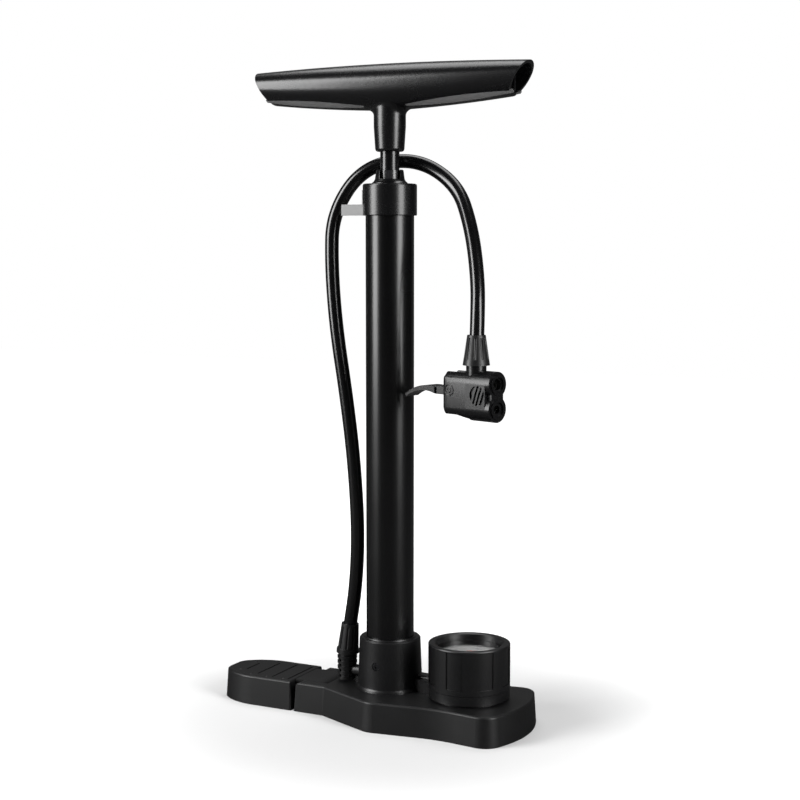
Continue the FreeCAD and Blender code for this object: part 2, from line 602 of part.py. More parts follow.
def rod_gland():
    """Flared cone over the bush, cut away at the front."""
    body = turned([
        (0, CAP_TOP), (GLAND_R_LOW, CAP_TOP), (GLAND_R_LOW, CAP_TOP + 0.7),
        (GLAND_R_MID + 0.9, CAP_TOP + 1.9), (GLAND_R_MID, CAP_TOP + 3.6),
        (GLAND_R_TOP, GLAND_TOP - 0.6), (GLAND_R_TOP - 0.6, GLAND_TOP), (0, GLAND_TOP)])
    body = body.cut(upright(GLAND_BORE_R, CAP_TOP - 1, GLAND_TOP + 1))
    window = block((-GLAND_WINDOW_HALF, -30, GLAND_WINDOW_Z), (GLAND_WINDOW_HALF, 0, GLAND_TOP + 1))
    window.rotate(V(0, 0, 0), UP, GLAND_WINDOW_TURN)
    return body.cut(window)


def hose_clip():
    """Pad on the cap's side with a tab and an arm that curls behind the hose."""
    low, high = CLIP_Z, CLIP_Z + CLIP_H
    hose_x, hose_y = hose_place(low + CLIP_H / 2)
    inner = HOSE_R + SLACK
    pad = tube(CAP_R + CLIP_PAD_T, CAP_R + RUN, low, CLIP_PAD_TOP)
    pad = pad.common(block((-2 * CAP_R, -6, low), (0, 6, CLIP_PAD_TOP)))
    tab = block((hose_x + inner + 0.5, -CLIP_TAB_T / 2, low), (-CAP_R - 0.5, CLIP_TAB_T / 2, high))
    arm = upright(inner + CLIP_ARM_T, low, high)
    tip = block((-30, -30, low - 1), (0, 0, high + 1))
    tip.rotate(V(0, 0, 0), UP, -CLIP_OPEN)
    arm = carved(arm, block((-30, -30, low - 1), (30, 0, high + 1)), tip)
    arm.translate(V(hose_x, hose_y, 0))
    shape = fused(pad, tab, arm)
    return shape.cut(hose_core(HOSE_R + SLACK))


def hose_place(height):
    """Where the hose's centre line crosses one height on its way up, left of the barrel."""
    plane = Part.makePlane(200, 400, V(-200, -200, height))
    crossing = hose_path()[0].distToShape(plane)[1][0][0]
    return crossing.x, crossing.y


# ================================================================ handle
def wing_section(x, shrink):
    """Closed smooth outline of the handle's cross-section at one station, in a plane across X."""
    share = abs(x) / WING_HALF
    top = WING_TOP - WING_TOP_DROP * share ** 2 - shrink
    low = WING_LOW + WING_LOW_RISE * share ** 1.6 + shrink
    half = WING_DEPTH + (WING_DEPTH_END - WING_DEPTH) * share ** 2 - shrink
    middle = 0.54 * top + 0.46 * low
    points = []
    for step in range(16):
        angle = 2 * math.pi * step / 16
        across, along = math.cos(angle), math.sin(angle)
        y = half * across
        reach = top - middle if along > 0 else middle - low
        points.append(V(x, y, middle + reach * along))
    curve = Part.BSplineCurve()
    curve.interpolate(points, PeriodicFlag=True)
    return Part.Wire(curve.toShape())


def wing(shrink=0.0):
    reach = WING_HALF + WING_OVERHANG
    places = [reach * (2 * i / (WING_STATIONS - 1) - 1) for i in range(WING_STATIONS)]
    return Part.makeLoft([wing_section(x, shrink) for x in places], True, False)


def end_cutter(side):
    """Block beyond the leaning end face of the wing."""
    cutter = block((0, -60, -80), (80, 60, 80))
    cutter.rotate(V(0, 0, 0), V(0, 1, 0), END_LEAN)
    cutter.translate(V(WING_HALF, 0, WING_TOP))
    if side < 0:
        cutter = cutter.mirror(V(0, 0, 0), V(1, 0, 0))
    return cutter


def strip_prism(side, face, margin):
    """Lens-shaped prism that bounds one textured strip in the wing's lower flank."""
    middle, half_len = (STRIP_FROM + STRIP_TO) / 2, (STRIP_TO - STRIP_FROM) / 2 - margin
    half = STRIP_HALF - margin
    blunt = 0.35 * half
    points = [V(-half_len, -blunt, 0), V(0, -half, 0), V(half_len, -blunt, 0),
              V(half_len, blunt, 0), V(0, half, 0), V(-half_len, blunt, 0)]
    wire = Part.Wire([
        Part.Arc(points[0], points[1], points[2]).toShape(),
        Part.LineSegment(points[2], points[3]).toShape(),
        Part.Arc(points[3], points[4], points[5]).toShape(),
        Part.LineSegment(points[5], points[0]).toShape()])
    prism = Part.Face(wire).extrude(V(0, 0, 30))
    slope = math.degrees(math.atan2(WING_LOW_RISE, WING_HALF))
    prism.rotate(V(0, 0, 0), V(1, 0, 0), 90 + STRIP_TILT)
    prism.rotate(V(0, 0, 0), V(0, 1, 0), -slope)
    height = WING_LOW + WING_LOW_RISE * 0.36 + 14.0
    prism.translate(V(middle, 0.0, height))
    if side < 0:
        prism = prism.mirror(V(0, 0, 0), V(1, 0, 0))
    if face > 0:
        prism = prism.mirror(V(0, 0, 0), V(0, 1, 0))
    return prism


def grip_strips():
    """Four textured strips let into the wing's lower flanks."""
    band = wing(STRIP_SINK).cut(wing(STRIP_SINK + STRIP_T - RUN))
    return [band.common(strip_prism(side, face, RUN)) for side in (-1, 1) for face in (-1, 1)]


def handle_body():
    """Wing-shaped grip on a tapered neck, with hollow ends."""
    neck = turned([
        (0, NECK_BOTTOM), (NECK_R_LOW - 1.6, NECK_BOTTOM), (NECK_R_LOW - 0.5, NECK_BOTTOM + 0.6),
        (NECK_R_LOW, NECK_BOTTOM + 2.0), (NECK_R_HIGH, NECK_MEET_Z - 20),
        (NECK_R_HIGH, NECK_MEET_Z + 12), (0, NECK_MEET_Z + 12)])
    body = fused(wing(), neck)
    meeting = [e for e in body.Edges if e.BoundBox.ZMin > WING_LOW - 1
               and max(e.BoundBox.XMax, e.BoundBox.YMax) < NECK_R_HIGH + 0.1]
    body = body.makeFillet(FLARE_R, meeting)
    pocket = wing(POCKET_WALL)
    for side in (-1, 1):
        near, far = sorted((side * POCKET_FROM, side * (WING_HALF + 20)))
        hollow = pocket.common(block((near, -60, 400), (far, 60, 600)))
        rib_near, rib_far = sorted((side * POCKET_FROM, side * (WING_HALF - 14)))
        rib = block((rib_near, -POCKET_RIB / 2, 400), (rib_far, POCKET_RIB / 2, 600))
        body = carved(body, hollow.cut(rib), end_cutter(side))
    band = wing(-1).cut(wing(STRIP_SINK + STRIP_T))
    for side in (-1, 1):
        for face in (-1, 1):
            body = body.cut(band.common(strip_prism(side, face, 0.0)))
    return carved(body, upright(ROD_R, NECK_BOTTOM - 1, ROD_TOP), *handle_screw_bores())


def handle_screw_bores():
    z = HANDLE_SCREW_Z
    return [cylinder(SCREW_R, (0, 0, z), (0, 30, z)),
            cylinder(SCREW_HEAD_R + 0.3, (0, NECK_R_HIGH - 2.2, z), (0, 30, z))]


def handle_screw():
    """Screw at the back of the neck that pins the grip to the rod."""
    return cross_screw((0, NECK_R_HIGH - 0.6, HANDLE_SCREW_Z), (0, -1, 0), 4.0, 1.6)


def rod_with_screw_bore():
    return piston_rod().cut(cylinder(SCREW_R, (0, 0, HANDLE_SCREW_Z), (0, 30, HANDLE_SCREW_Z)))


# ================================================================ gauge
def gauge_body():
    """Lower ring, cup and spindle bearing of the gauge."""
    ring = upright(GAUGE_R - 0.2, GAUGE_RING_LOW, GAUGE_SEAM, GAUGE_X)
    plinth = upright(GAUGE_PLINTH_R, BASE_H, GAUGE_RING_LOW + 1, GAUGE_X)
    cup = upright(GAUGE_CUP_R, GAUGE_SEAM - 1, RIM_UNDER - LENS_T, GAUGE_X)
    body = fused(ring, plinth, cup)
    inner = GAUGE_CUP_R - GAUGE_CUP_WALL
    body = body.cut(upright(inner, GAUGE_FLOOR, GAUGE_TOP, GAUGE_X))
    ledge = tube(inner + 0.5, inner - 2, DIAL_Z - 3, DIAL_Z, GAUGE_X)
    bearing = upright(3.2, GAUGE_FLOOR - 1, COIL_LOW - 1, GAUGE_X)
    stem_x = GAUGE_X - coil_reach()
    stem = block((stem_x - 3, -3.5, GAUGE_FLOOR - 1), (stem_x + 1.5, 3.5, COIL_LOW))
    body = fused(body, ledge, bearing, stem)
    duct = cylinder(DUCT_R, (GAUGE_X - GAUGE_R - 5, 0, DUCT_Z), (stem_x, 0, DUCT_Z))
    riser = upright(1.0, DUCT_Z, COIL_LOW + 1, stem_x)
    sink = upright(SPINDLE_R + RUN, SPINDLE_LOW - FACE, COIL_LOW + 1, GAUGE_X)
    return carved(body, duct, riser, sink,
                  *[upright(SCREW_R, BASE_H - 1, GAUGE_FLOOR - 1, x, y) for x, y in gauge_screw_places()])


def coil_reach():
    """Distance from the spindle to the outer end of the pressure coil's centre line."""
    return COIL_INNER + COIL_PITCH * COIL_HALF_TURNS


def pressure_coil():
    """Flattened spiral tube whose inner end turns the spindle, made of half rings of growing radius."""
    coil = None
    for i in range(COIL_HALF_TURNS):
        radius = COIL_INNER + COIL_PITCH * (i + 0.5)
        centre = GAUGE_X + (COIL_PITCH / 2 if i % 2 else -COIL_PITCH / 2)
        if i == 0:
            centre = GAUGE_X - COIL_PITCH / 2
        ring = tube(radius + COIL_T / 2, radius - COIL_T / 2, COIL_LOW, COIL_LOW + COIL_H, centre)
        side = block((centre - 40, 0, 0), (centre + 40, 40, 100)) if i % 2 == 0 else \
            block((centre - 40, -40, 0), (centre + 40, 0, 100))
        half = ring.common(side)
        coil = half if coil is None else coil.fuse(half)
    inner = GAUGE_X + COIL_INNER
    arm = block((GAUGE_X + SPINDLE_R + 0.6, -COIL_T / 2, COIL_LOW), (inner + COIL_T / 2, COIL_T / 2, COIL_LOW + COIL_H))
    hub = tube(SPINDLE_R + 1.1, SPINDLE_R + RUN, COIL_LOW, COIL_LOW + COIL_H, GAUGE_X)
    return fused(coil, arm, hub)


def gauge_cover():
    """Fluted cover that clamps the lens."""
    body = turned([
        (GAUGE_COVER_BORE, GAUGE_SEAM), (GAUGE_R - 0.3, GAUGE_SEAM), (GAUGE_R, GAUGE_SEAM + 0.4),
        (GAUGE_R, GAUGE_TOP - 1.0), (GAUGE_R - 0.3, GAUGE_TOP - 0.3), (GAUGE_R - 1.0, GAUGE_TOP),
        (RIM_R + 1.8, GAUGE_TOP), (RIM_R + 0.6, GAUGE_TOP - 0.6), (RIM_R, RIM_UNDER),
        (GAUGE_COVER_BORE, RIM_UNDER)], GAUGE_X)
    shaving = tube(GAUGE_R + 2, GAUGE_R - FLUTE_DEPTH, FLUTE_LOW, FLUTE_HIGH, GAUGE_X)
    reach = 60.0
    half = math.radians(FLUTE_ANGLE / 2)
    for i in range(FLUTES):
        middle = math.radians(FLUTE_PHASE + 360.0 / FLUTES * i)
        corners = [V(GAUGE_X, 0, FLUTE_LOW - 1)]
        for angle in (middle - half, middle + half):
            corners.append(V(GAUGE_X + reach * math.cos(angle), reach * math.sin(angle), FLUTE_LOW - 1))
        sector = Part.Face(Part.makePolygon(corners + corners[:1])).extrude(V(0, 0, 50))
        body = body.cut(shaving.common(sector))
    return body


def gauge_lens():
    return upright(GAUGE_CUP_R, RIM_UNDER - LENS_T, RIM_UNDER, GAUGE_X)


def gauge_dial():
    return tube(GAUGE_CUP_R - GAUGE_CUP_WALL - RUN, SPINDLE_R + 0.9, DIAL_Z, DIAL_Z + DIAL_T, GAUGE_X)


def gauge_spindle():
    return upright(SPINDLE_R, SPINDLE_LOW, SPINDLE_TOP, GAUGE_X)


def gauge_needle():
    """Tapered pointer with a round hub and a tail."""
    points = [V(-NEEDLE_TAIL, -1.1, 0), V(NEEDLE_REACH, -0.25, 0), V(NEEDLE_REACH, 0.25, 0),
              V(-NEEDLE_TAIL, 1.1, 0)]
    blade = Part.Face(Part.makePolygon(points + points[:1])).extrude(V(0, 0, NEEDLE_T))
    blade = blade.fuse(upright(2.3, -0.3, NEEDLE_T + 0.6))
    blade = blade.cut(upright(SPINDLE_R, -5, 5))
    blade.rotate(V(0, 0, 0), UP, NEEDLE_REST)
    blade.translate(V(GAUGE_X, 0, NEEDLE_Z))
    return blade


# ================================================================ hose and its sleeves
def hose_path():
    """Straight runs joined by tangent arcs along the route, with the path's length and arc radii."""
    points = [V(*p) for p in HOSE_ROUTE]
    edges, start, length = [], points[0], 0.0
    radii = []
    for i in range(1, len(points) - 1):
        before, corner, after = points[i - 1], points[i], points[i + 1]
        d1, d2 = (corner - before).normalize(), (after - corner).normalize()
        turn = d1.getAngle(d2)
        shorter = min((corner - before).Length, (after - corner).Length)
        radius = 0.45 * shorter / math.tan(turn / 2)
        reach = radius * math.tan(turn / 2)
        entry, leave = corner - d1 * reach, corner + d2 * reach
        middle = corner + (d2 - d1).normalize() * (radius / math.cos(turn / 2) - radius)
        edges.append(Part.LineSegment(start, entry).toShape())
        edges.append(Part.Arc(entry, middle, leave).toShape())
        length += (entry - start).Length + radius * turn
        radii.append(round(radius))
        start = leave
    edges.append(Part.LineSegment(start, points[-1]).toShape())
    length += (points[-1] - start).Length
    return Part.Wire(edges), length, radii


def hose_core(radius):
    """Solid round bar along the hose's whole route."""
    start = V(*HOSE_ROUTE[0])
    section = Part.Wire(Part.makeCircle(radius, start, V(*HOSE_ROUTE[1]) - start))
    return hose_path()[0].makePipeShell([section], True, False)


def hose():
    """Rubber hose of round section, pushed over the barbs at both ends."""
    path, length, radii = hose_path()
    body = hose_core(HOSE_R).cut(hose_core(HOSE_BORE_R))
    expected = math.pi * (HOSE_R ** 2 - HOSE_BORE_R ** 2) * length
    print("hose arc radii in mm:", radii)
    print("hose length in mm:", round(length, 1))
    print("hose volume over section times length:", round(body.Volume / expected, 4))
    return body


def along(shape, start, end):
    """Moves a shape built upright on the origin so that +Z points from start to end."""
    way = (V(*end) - V(*start)).normalize()
    shape.Placement = FreeCAD.Placement(V(*start), FreeCAD.Rotation(UP, way))
    return shape


def strain_relief():
    """Ribbed sleeve round the elbow and the hose's end."""
    height = SLEEVE_TOP - SLEEVE_LOW
    body = upright(SLEEVE_R, SLEEVE_LOW, SLEEVE_TOP, ELBOW_X)
    pitch = height / SLEEVE_RIBS
    for i in range(SLEEVE_RIBS):
        low = SLEEVE_LOW + i * pitch
        body = body.fuse(upright(SLEEVE_RIB_R, low, low + 0.5 * pitch, ELBOW_X))
    for angle in range(30, 360, 60):
        spine = block((-0.9, SLEEVE_R - 1, SLEEVE_LOW), (0.9, SLEEVE_RIB_R, SLEEVE_TOP - 0.5 * pitch))
        spine.rotate(V(0, 0, 0), UP, angle)
        spine.translate(V(ELBOW_X, 0, 0))
        body = body.fuse(spine)
    return carved(body.removeSplitter(),
                  hose_core(HOSE_R + RUN),
                  upright(ELBOW_STUB_R + RUN, ELBOW_Z, SLEEVE_TOP, ELBOW_X),
                  Part.makeSphere(ELBOW_BOSS_R + RUN, V(ELBOW_X, 0, ELBOW_Z)),
                  cylinder(ELBOW_BOSS_R + RUN, (ELBOW_X, 0, ELBOW_Z), (0, 0, ELBOW_Z)),
                  block((ELBOW_X + SLEEVE_R, -GUSSET_T, 0), (0, GUSSET_T, ELBOW_Z)))


def fluted_boot(low_radius, top_radius, height, lip_radius):
    """Tapered sleeve with lengthwise flutes, built upright on the origin; its bore is cut later."""
    body = cone(low_radius, top_radius, 0, height)
    if lip_radius:
        body = body.fuse(upright(lip_radius, 0, 3.4)).removeSplitter()
    for i in range(BOOT_FLUTES):
        angle = 2 * math.pi * i / BOOT_FLUTES
        low_reach, top_reach = low_radius + 0.15, top_radius + 0.55
        flute = cylinder(1.15, (low_reach * math.cos(angle), low_reach * math.sin(angle), 4.5),
                         (top_reach * math.cos(angle), top_reach * math.sin(angle), height - 2.0))
        body = body.cut(flute)
    return body


def lower_boot():
    """Boot over the first stretch of the hose."""
    x0, _ = hose_place(SLEEVE_TOP)
    x1, _ = hose_place(BOOT_TOP)
    height = math.hypot(x1 - x0, BOOT_TOP - SLEEVE_TOP)
    body = along(fluted_boot(BOOT_R_LOW, BOOT_R_TOP, height, BOOT_LIP_R),
                 (x0, 0, SLEEVE_TOP + RUN), (x1, 0, BOOT_TOP))
    body = body.cut(block((-80, -20, 0), (0, 20, SLEEVE_TOP + RUN)))
    return body.cut(hose_core(HOSE_R + RUN))


# ================================================================ valve head
def placed(shape):
    """Moves a head piece from its own frame (X towards the ports, Z up) into the pump's frame."""
    shape.rotate(V(0, 0, 0), UP, HEAD_TURN)
    shape.translate(V(HEAD_X, HEAD_Y, HEAD_Z))
    return shape


def port_heights():
    return PORT_SPREAD, -PORT_SPREAD


def head_body():
    """Body of the twin-port valve head with its neck, hose barb and lever cheeks."""
    lobes = [cylinder(LOBE_R, (-2, 0, z), (HEAD_FACE - RETAINER_T, 0, z)) for z in port_heights()]
    web = block((-2, -LOBE_R, -PORT_SPREAD), (HEAD_FACE - RETAINER_T, LOBE_R, PORT_SPREAD))
    rear = block((HEAD_REAR, -HEAD_HALF, -12.5), (2, HEAD_HALF, 15.0))
    rounding = [e for e in rear.Edges if e.BoundBox.XMin < HEAD_REAR + 0.1]
    rear = rear.makeFillet(HEAD_EDGE, rounding)
    neck = upright(HEAD_NECK_R, 8, HEAD_NECK_TOP)
    spigot = upright(ELBOW_STUB_R, HEAD_NECK_TOP - 1, HOSE_ROUTE[-1][2] - HEAD_Z - 0.6)
    body = fused(rear, *lobes, web, neck, spigot)
    slot_half = LEVER_HALF + SLACK
    swing = cylinder(CAM_R + 1.2, (PIVOT_S, -slot_half, PIVOT_Z), (PIVOT_S, slot_half, PIVOT_Z))
    behind = block((HEAD_REAR - 2, -slot_half, -40), (PIVOT_S, slot_half, 40))
    below = block((PIVOT_S - 1, -slot_half, -40), (PIVOT_S + CAM_R + 1.2, slot_half, PIVOT_Z))
    yoke_room = block((PIVOT_S, -slot_half, -PORT_SPREAD - 2.5),
                      (yoke_front() + YOKE_T + CLAMP_TRAVEL + SLACK, slot_half, PORT_SPREAD + 2.5))
    body = carved(body, swing, behind, below, yoke_room,
                  upright(ELBOW_BORE_R, 0, HOSE_ROUTE[-1][2] - HEAD_Z - 1.6),
                  cylinder(LEVER_PIN_R, (PIVOT_S, -20, PIVOT_Z), (PIVOT_S, 20, PIVOT_Z)))
    body = carved(body, *[cylinder(PORT_TUBE_R, (yoke_front() - 1, 0, z), (30, 0, z)) for z in port_heights()])
    pads = []
    for side in (-1, 1):
        floor = side * (LOBE_R - RECESS_DEPTH)
        recess = cylinder(RECESS_R, (RECESS_S, floor, RECESS_Z), (RECESS_S, side * 20, RECESS_Z))
        for i in (-1, 0, 1):
            rib = block((-0.8, -20, -9), (0.8, 20, 9))
            rib.rotate(V(0, 0, 0), V(0, 1, 0), 20)
            rib.translate(V(RECESS_S + 3.6 * i, 0, RECESS_Z))
            recess = recess.cut(rib)
        pads.append(recess)
        floor = side * (HEAD_HALF - BOSS_DEPTH)
        disc, ridge, core = [cylinder(radius, (PIVOT_S, floor, PIVOT_Z), (PIVOT_S, side * 20, PIVOT_Z))
                             for radius in (BOSS_OUTER, BOSS_INNER, BOSS_CORE)]
        pads += [disc.cut(ridge), core]
    body = placed(carved(body, *pads))
    barb = barb_at(HOSE_ROUTE[-1], HOSE_ROUTE[-2], BARB_R, BARB_LEN * 0.8)
    bore = barb_at(HOSE_ROUTE[-1], HOSE_ROUTE[-2], BARB_BORE_R, BARB_LEN)
    return body.fuse(barb).cut(bore).removeSplitter()


def yoke_front():
    """Rear face of the plungers' bores, just ahead of the cam."""
    return PIVOT_S + CAM_R + PUSHER_GAP


def clamp_plunger():
    """Yoke with two hollow pushers that squeeze the port seals."""
    front = HEAD_FACE - RETAINER_T - SEAL_LEN - CLAMP_TRAVEL - FACE
    start = yoke_front()
    yoke_half = LEVER_HALF - YOKE_SIDE_GAP
    body = block((start, -yoke_half, -PORT_SPREAD - 2), (start + YOKE_T, yoke_half, PORT_SPREAD + 2))
    for z in port_heights():
        body = body.fuse(cylinder(PORT_TUBE_R - RUN, (start + YOKE_T - 0.1, 0, z), (front, 0, z)))
        body = body.cut(cylinder(3.2, (start + 5, 0, z), (front + 1, 0, z)))
    return placed(body.removeSplitter())


def port_seals():
    """Two rubber sleeves, one for each kind of tyre valve."""
    low, high = HEAD_FACE - RETAINER_T - SEAL_LEN, HEAD_FACE - RETAINER_T
    seals = []
    for z, radius in zip(port_heights(), (SCHRADER_R, PRESTA_R)):
        sleeve = cylinder(PORT_TUBE_R, (low, 0, z), (high, 0, z))
        seals.append(placed(sleeve.cut(cylinder(radius - 0.2, (low - 1, 0, z), (high + 1, 0, z)))))
    return seals


def port_retainer():
    """Figure-of-eight front plate that holds the seals."""
    low, high = HEAD_FACE - RETAINER_T, HEAD_FACE
    body = fused(*[cylinder(LOBE_R, (low, 0, z), (high, 0, z)) for z in port_heights()])
    body = body.fuse(block((low, -6.5, -PORT_SPREAD), (high, 6.5, PORT_SPREAD))).removeSplitter()
    for z, radius in zip(port_heights(), (SCHRADER_R, PRESTA_R)):
        ring = cylinder(LOBE_R - 2.2, (high - 0.1, 0, z), (high + 1.2, 0, z))
        body = body.fuse(ring)
        body = body.cut(cylinder(LOBE_R - 4.0, (high - 0.6, 0, z), (high + 5, 0, z)))
        body = body.cut(cylinder(radius, (low - 1, 0, z), (high + 5, 0, z)))
    return placed(body.removeSplitter())


def valve_lever():
    """Cam lever: round cam, straight shank and an arched finger paddle."""
    half = LEVER_HALF
    cam = cylinder(CAM_R, (PIVOT_S, -half, PIVOT_Z), (PIVOT_S, half, PIVOT_Z))
    shank = block((PIVOT_S - SHANK_LEN, -half, PIVOT_Z + SHANK_LOW), (PIVOT_S, half, PIVOT_Z + SHANK_TOP))
    start, tip = PIVOT_S - SHANK_LEN + 0.5, PIVOT_S - LEVER_LEN
    middle = (start + tip) / 2
    top = [V(start, 0, PIVOT_Z + 1.1), V(middle, 0, PIVOT_Z + 0.8), V(tip, 0, PIVOT_Z - 6.5)]
    low = [V(tip + 1.0, 0, PIVOT_Z - 8.4), V(middle, 0, PIVOT_Z - 2.6), V(start, 0, PIVOT_Z - 4.0)]
    wire = Part.Wire([
        Part.Arc(*top).toShape(), Part.LineSegment(top[2], low[0]).toShape(),
        Part.Arc(*low).toShape(), Part.LineSegment(low[2], top[0]).toShape()])
    paddle = Part.Face(wire).extrude(V(0, 2 * (half + PADDLE_SIDE), 0))
    paddle.translate(V(0, -half - PADDLE_SIDE, 0))
    body = fused(cam, shank, paddle)
    return placed(body.cut(cylinder(LEVER_PIN_R + RUN, (PIVOT_S, -20, PIVOT_Z), (PIVOT_S, 20, PIVOT_Z))))


def lever_pin():
    length = HEAD_HALF - 0.4
    return placed(cylinder(LEVER_PIN_R, (PIVOT_S, -length, PIVOT_Z), (PIVOT_S, length, PIVOT_Z)))


def head_boot():
    """Fluted boot over the hose where it enters the head."""
    low = HEAD_Z + HEAD_NECK_TOP + RUN
    height = 22.4
    end_z = HOSE_ROUTE[-1][2]
    body = fluted_boot(HEAD_BOOT_R_LOW, HEAD_BOOT_R_TOP, height, None)
    body.translate(V(HEAD_X, HEAD_Y, low))
    return carved(body, hose_core(HOSE_R + RUN), upright(HOSE_R + RUN, HEAD_Z, end_z + 1, HEAD_X, HEAD_Y))


# ================================================================ export
NODES = {
    "base_plate": base_plate,
    "foot_pedal": foot_pedal,
    "pedal_hinge_pin": hinge_pin,
    "barrel_socket": barrel_socket,
    "socket_screws": socket_screws,
    "base_screws": base_screws,
    "gauge_screws": gauge_screws,
    "barrel_tube": barrel_tube,
    "foot_valve_seat": foot_valve_seat,
    "seat_ring": seat_ring,
    "valve_poppet": valve_poppet,
    "valve_spring": valve_spring,
    "piston_head": piston_head,
    "piston_seal": piston_seal,
    "piston_rod": rod_with_screw_bore,
    "piston_washer": piston_washer,
    "piston_nut": piston_nut,
    "barrel_cap": barrel_cap,
    "rod_bush": rod_bush,
    "rod_gland": rod_gland,
    "hose_clip": hose_clip,
    "handle_body": handle_body,
    "grip_strips": grip_strips,
    "handle_screw": handle_screw,
    "gauge_body": gauge_body,
    "gauge_cover": gauge_cover,
    "gauge_lens": gauge_lens,
    "gauge_dial": gauge_dial,
    "gauge_spindle": gauge_spindle,
    "gauge_needle": gauge_needle,
    "pressure_coil": pressure_coil,
    "hose": hose,
    "strain_relief": strain_relief,
    "lower_boot": lower_boot,
    "head_body": head_body,
    "head_boot": head_boot,
    "port_retainer": port_retainer,
    "port_seals": port_seals,
    "clamp_plunger": clamp_plunger,
    "valve_lever": valve_lever,
    "lever_pin": lever_pin,
}


def main():
    os.makedirs("parts", exist_ok=True)
    for name, build in NODES.items():
        made = build()
        shapes = made if isinstance(made, list) else [made]
        solids = [solid for shape in shapes for solid in shape.Solids]
        result = solids[0] if len(solids) == 1 else Part.makeCompound(solids)
        result.exportStep("parts/" + name + ".step")
        print(name, "solids", len(solids), "valid", result.isValid(), "volume", round(result.Volume))


main()
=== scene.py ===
import logging
import math
from dataclasses import dataclass, field
from enum import Enum
from typing import Any, Sequence

import bmesh
import bpy
import numpy as np
from mathutils import Matrix, Vector


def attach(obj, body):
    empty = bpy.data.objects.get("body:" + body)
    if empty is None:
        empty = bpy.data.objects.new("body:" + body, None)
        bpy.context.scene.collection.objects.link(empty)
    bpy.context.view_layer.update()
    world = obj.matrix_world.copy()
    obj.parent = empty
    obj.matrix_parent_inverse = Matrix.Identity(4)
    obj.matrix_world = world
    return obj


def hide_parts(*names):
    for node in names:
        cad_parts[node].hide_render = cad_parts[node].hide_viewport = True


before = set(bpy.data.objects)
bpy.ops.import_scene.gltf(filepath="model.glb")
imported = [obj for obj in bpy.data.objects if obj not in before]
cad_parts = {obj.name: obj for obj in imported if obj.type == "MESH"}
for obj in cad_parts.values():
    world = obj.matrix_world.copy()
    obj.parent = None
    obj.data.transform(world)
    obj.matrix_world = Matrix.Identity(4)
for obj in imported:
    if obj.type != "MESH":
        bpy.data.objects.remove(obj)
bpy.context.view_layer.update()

# Looks of an upright floor pump: finishes, valve head, hose, dial print, studio and camera.
# Lengths are in metres unless a comment says otherwise.  +X runs along the base towards the gauge,
# -Y is the user's side and +Z is up.

log = logging.getLogger("floor_pump")
MM = 0.001


# ---------------------------------------------------------------------------------- shader maths
class Signal:
    """A number that varies over a surface: wraps a node's output socket and does maths on it."""

    def __init__(self, maker: "NodeMaker", socket: bpy.types.NodeSocket) -> None:
        """Keeps the maker that adds nodes and the socket that holds the number."""
        self.maker = maker
        self.socket = socket

    def _maths(self, operation: str, *values: Any) -> "Signal":
        """Adds one Math node.

        Args:
            operation: The Math node's operation.
            values: Numbers or signals for its inputs, in order.

        Returns:
            The result as a signal.
        """
        return self.maker.add("ShaderNodeMath", {"operation": operation}, dict(enumerate(values)))

    def __add__(self, other: Any) -> "Signal":
        """Sum."""
        return self._maths("ADD", self, other)

    __radd__ = __add__

    def __mul__(self, other: Any) -> "Signal":
        """Product."""
        return self._maths("MULTIPLY", self, other)

    __rmul__ = __mul__

    def __sub__(self, other: Any) -> "Signal":
        """Difference."""
        return self._maths("SUBTRACT", self, other)

    def __rsub__(self, other: Any) -> "Signal":
        """Reflected difference."""
        return self._maths("SUBTRACT", other, self)

    def at_most(self, other: Any) -> "Signal":
        """The smaller of the two."""
        return self._maths("MINIMUM", self, other)

    def above(self, other: Any) -> "Signal":
        """One where this is larger, else zero."""
        return self._maths("GREATER_THAN", self, other)


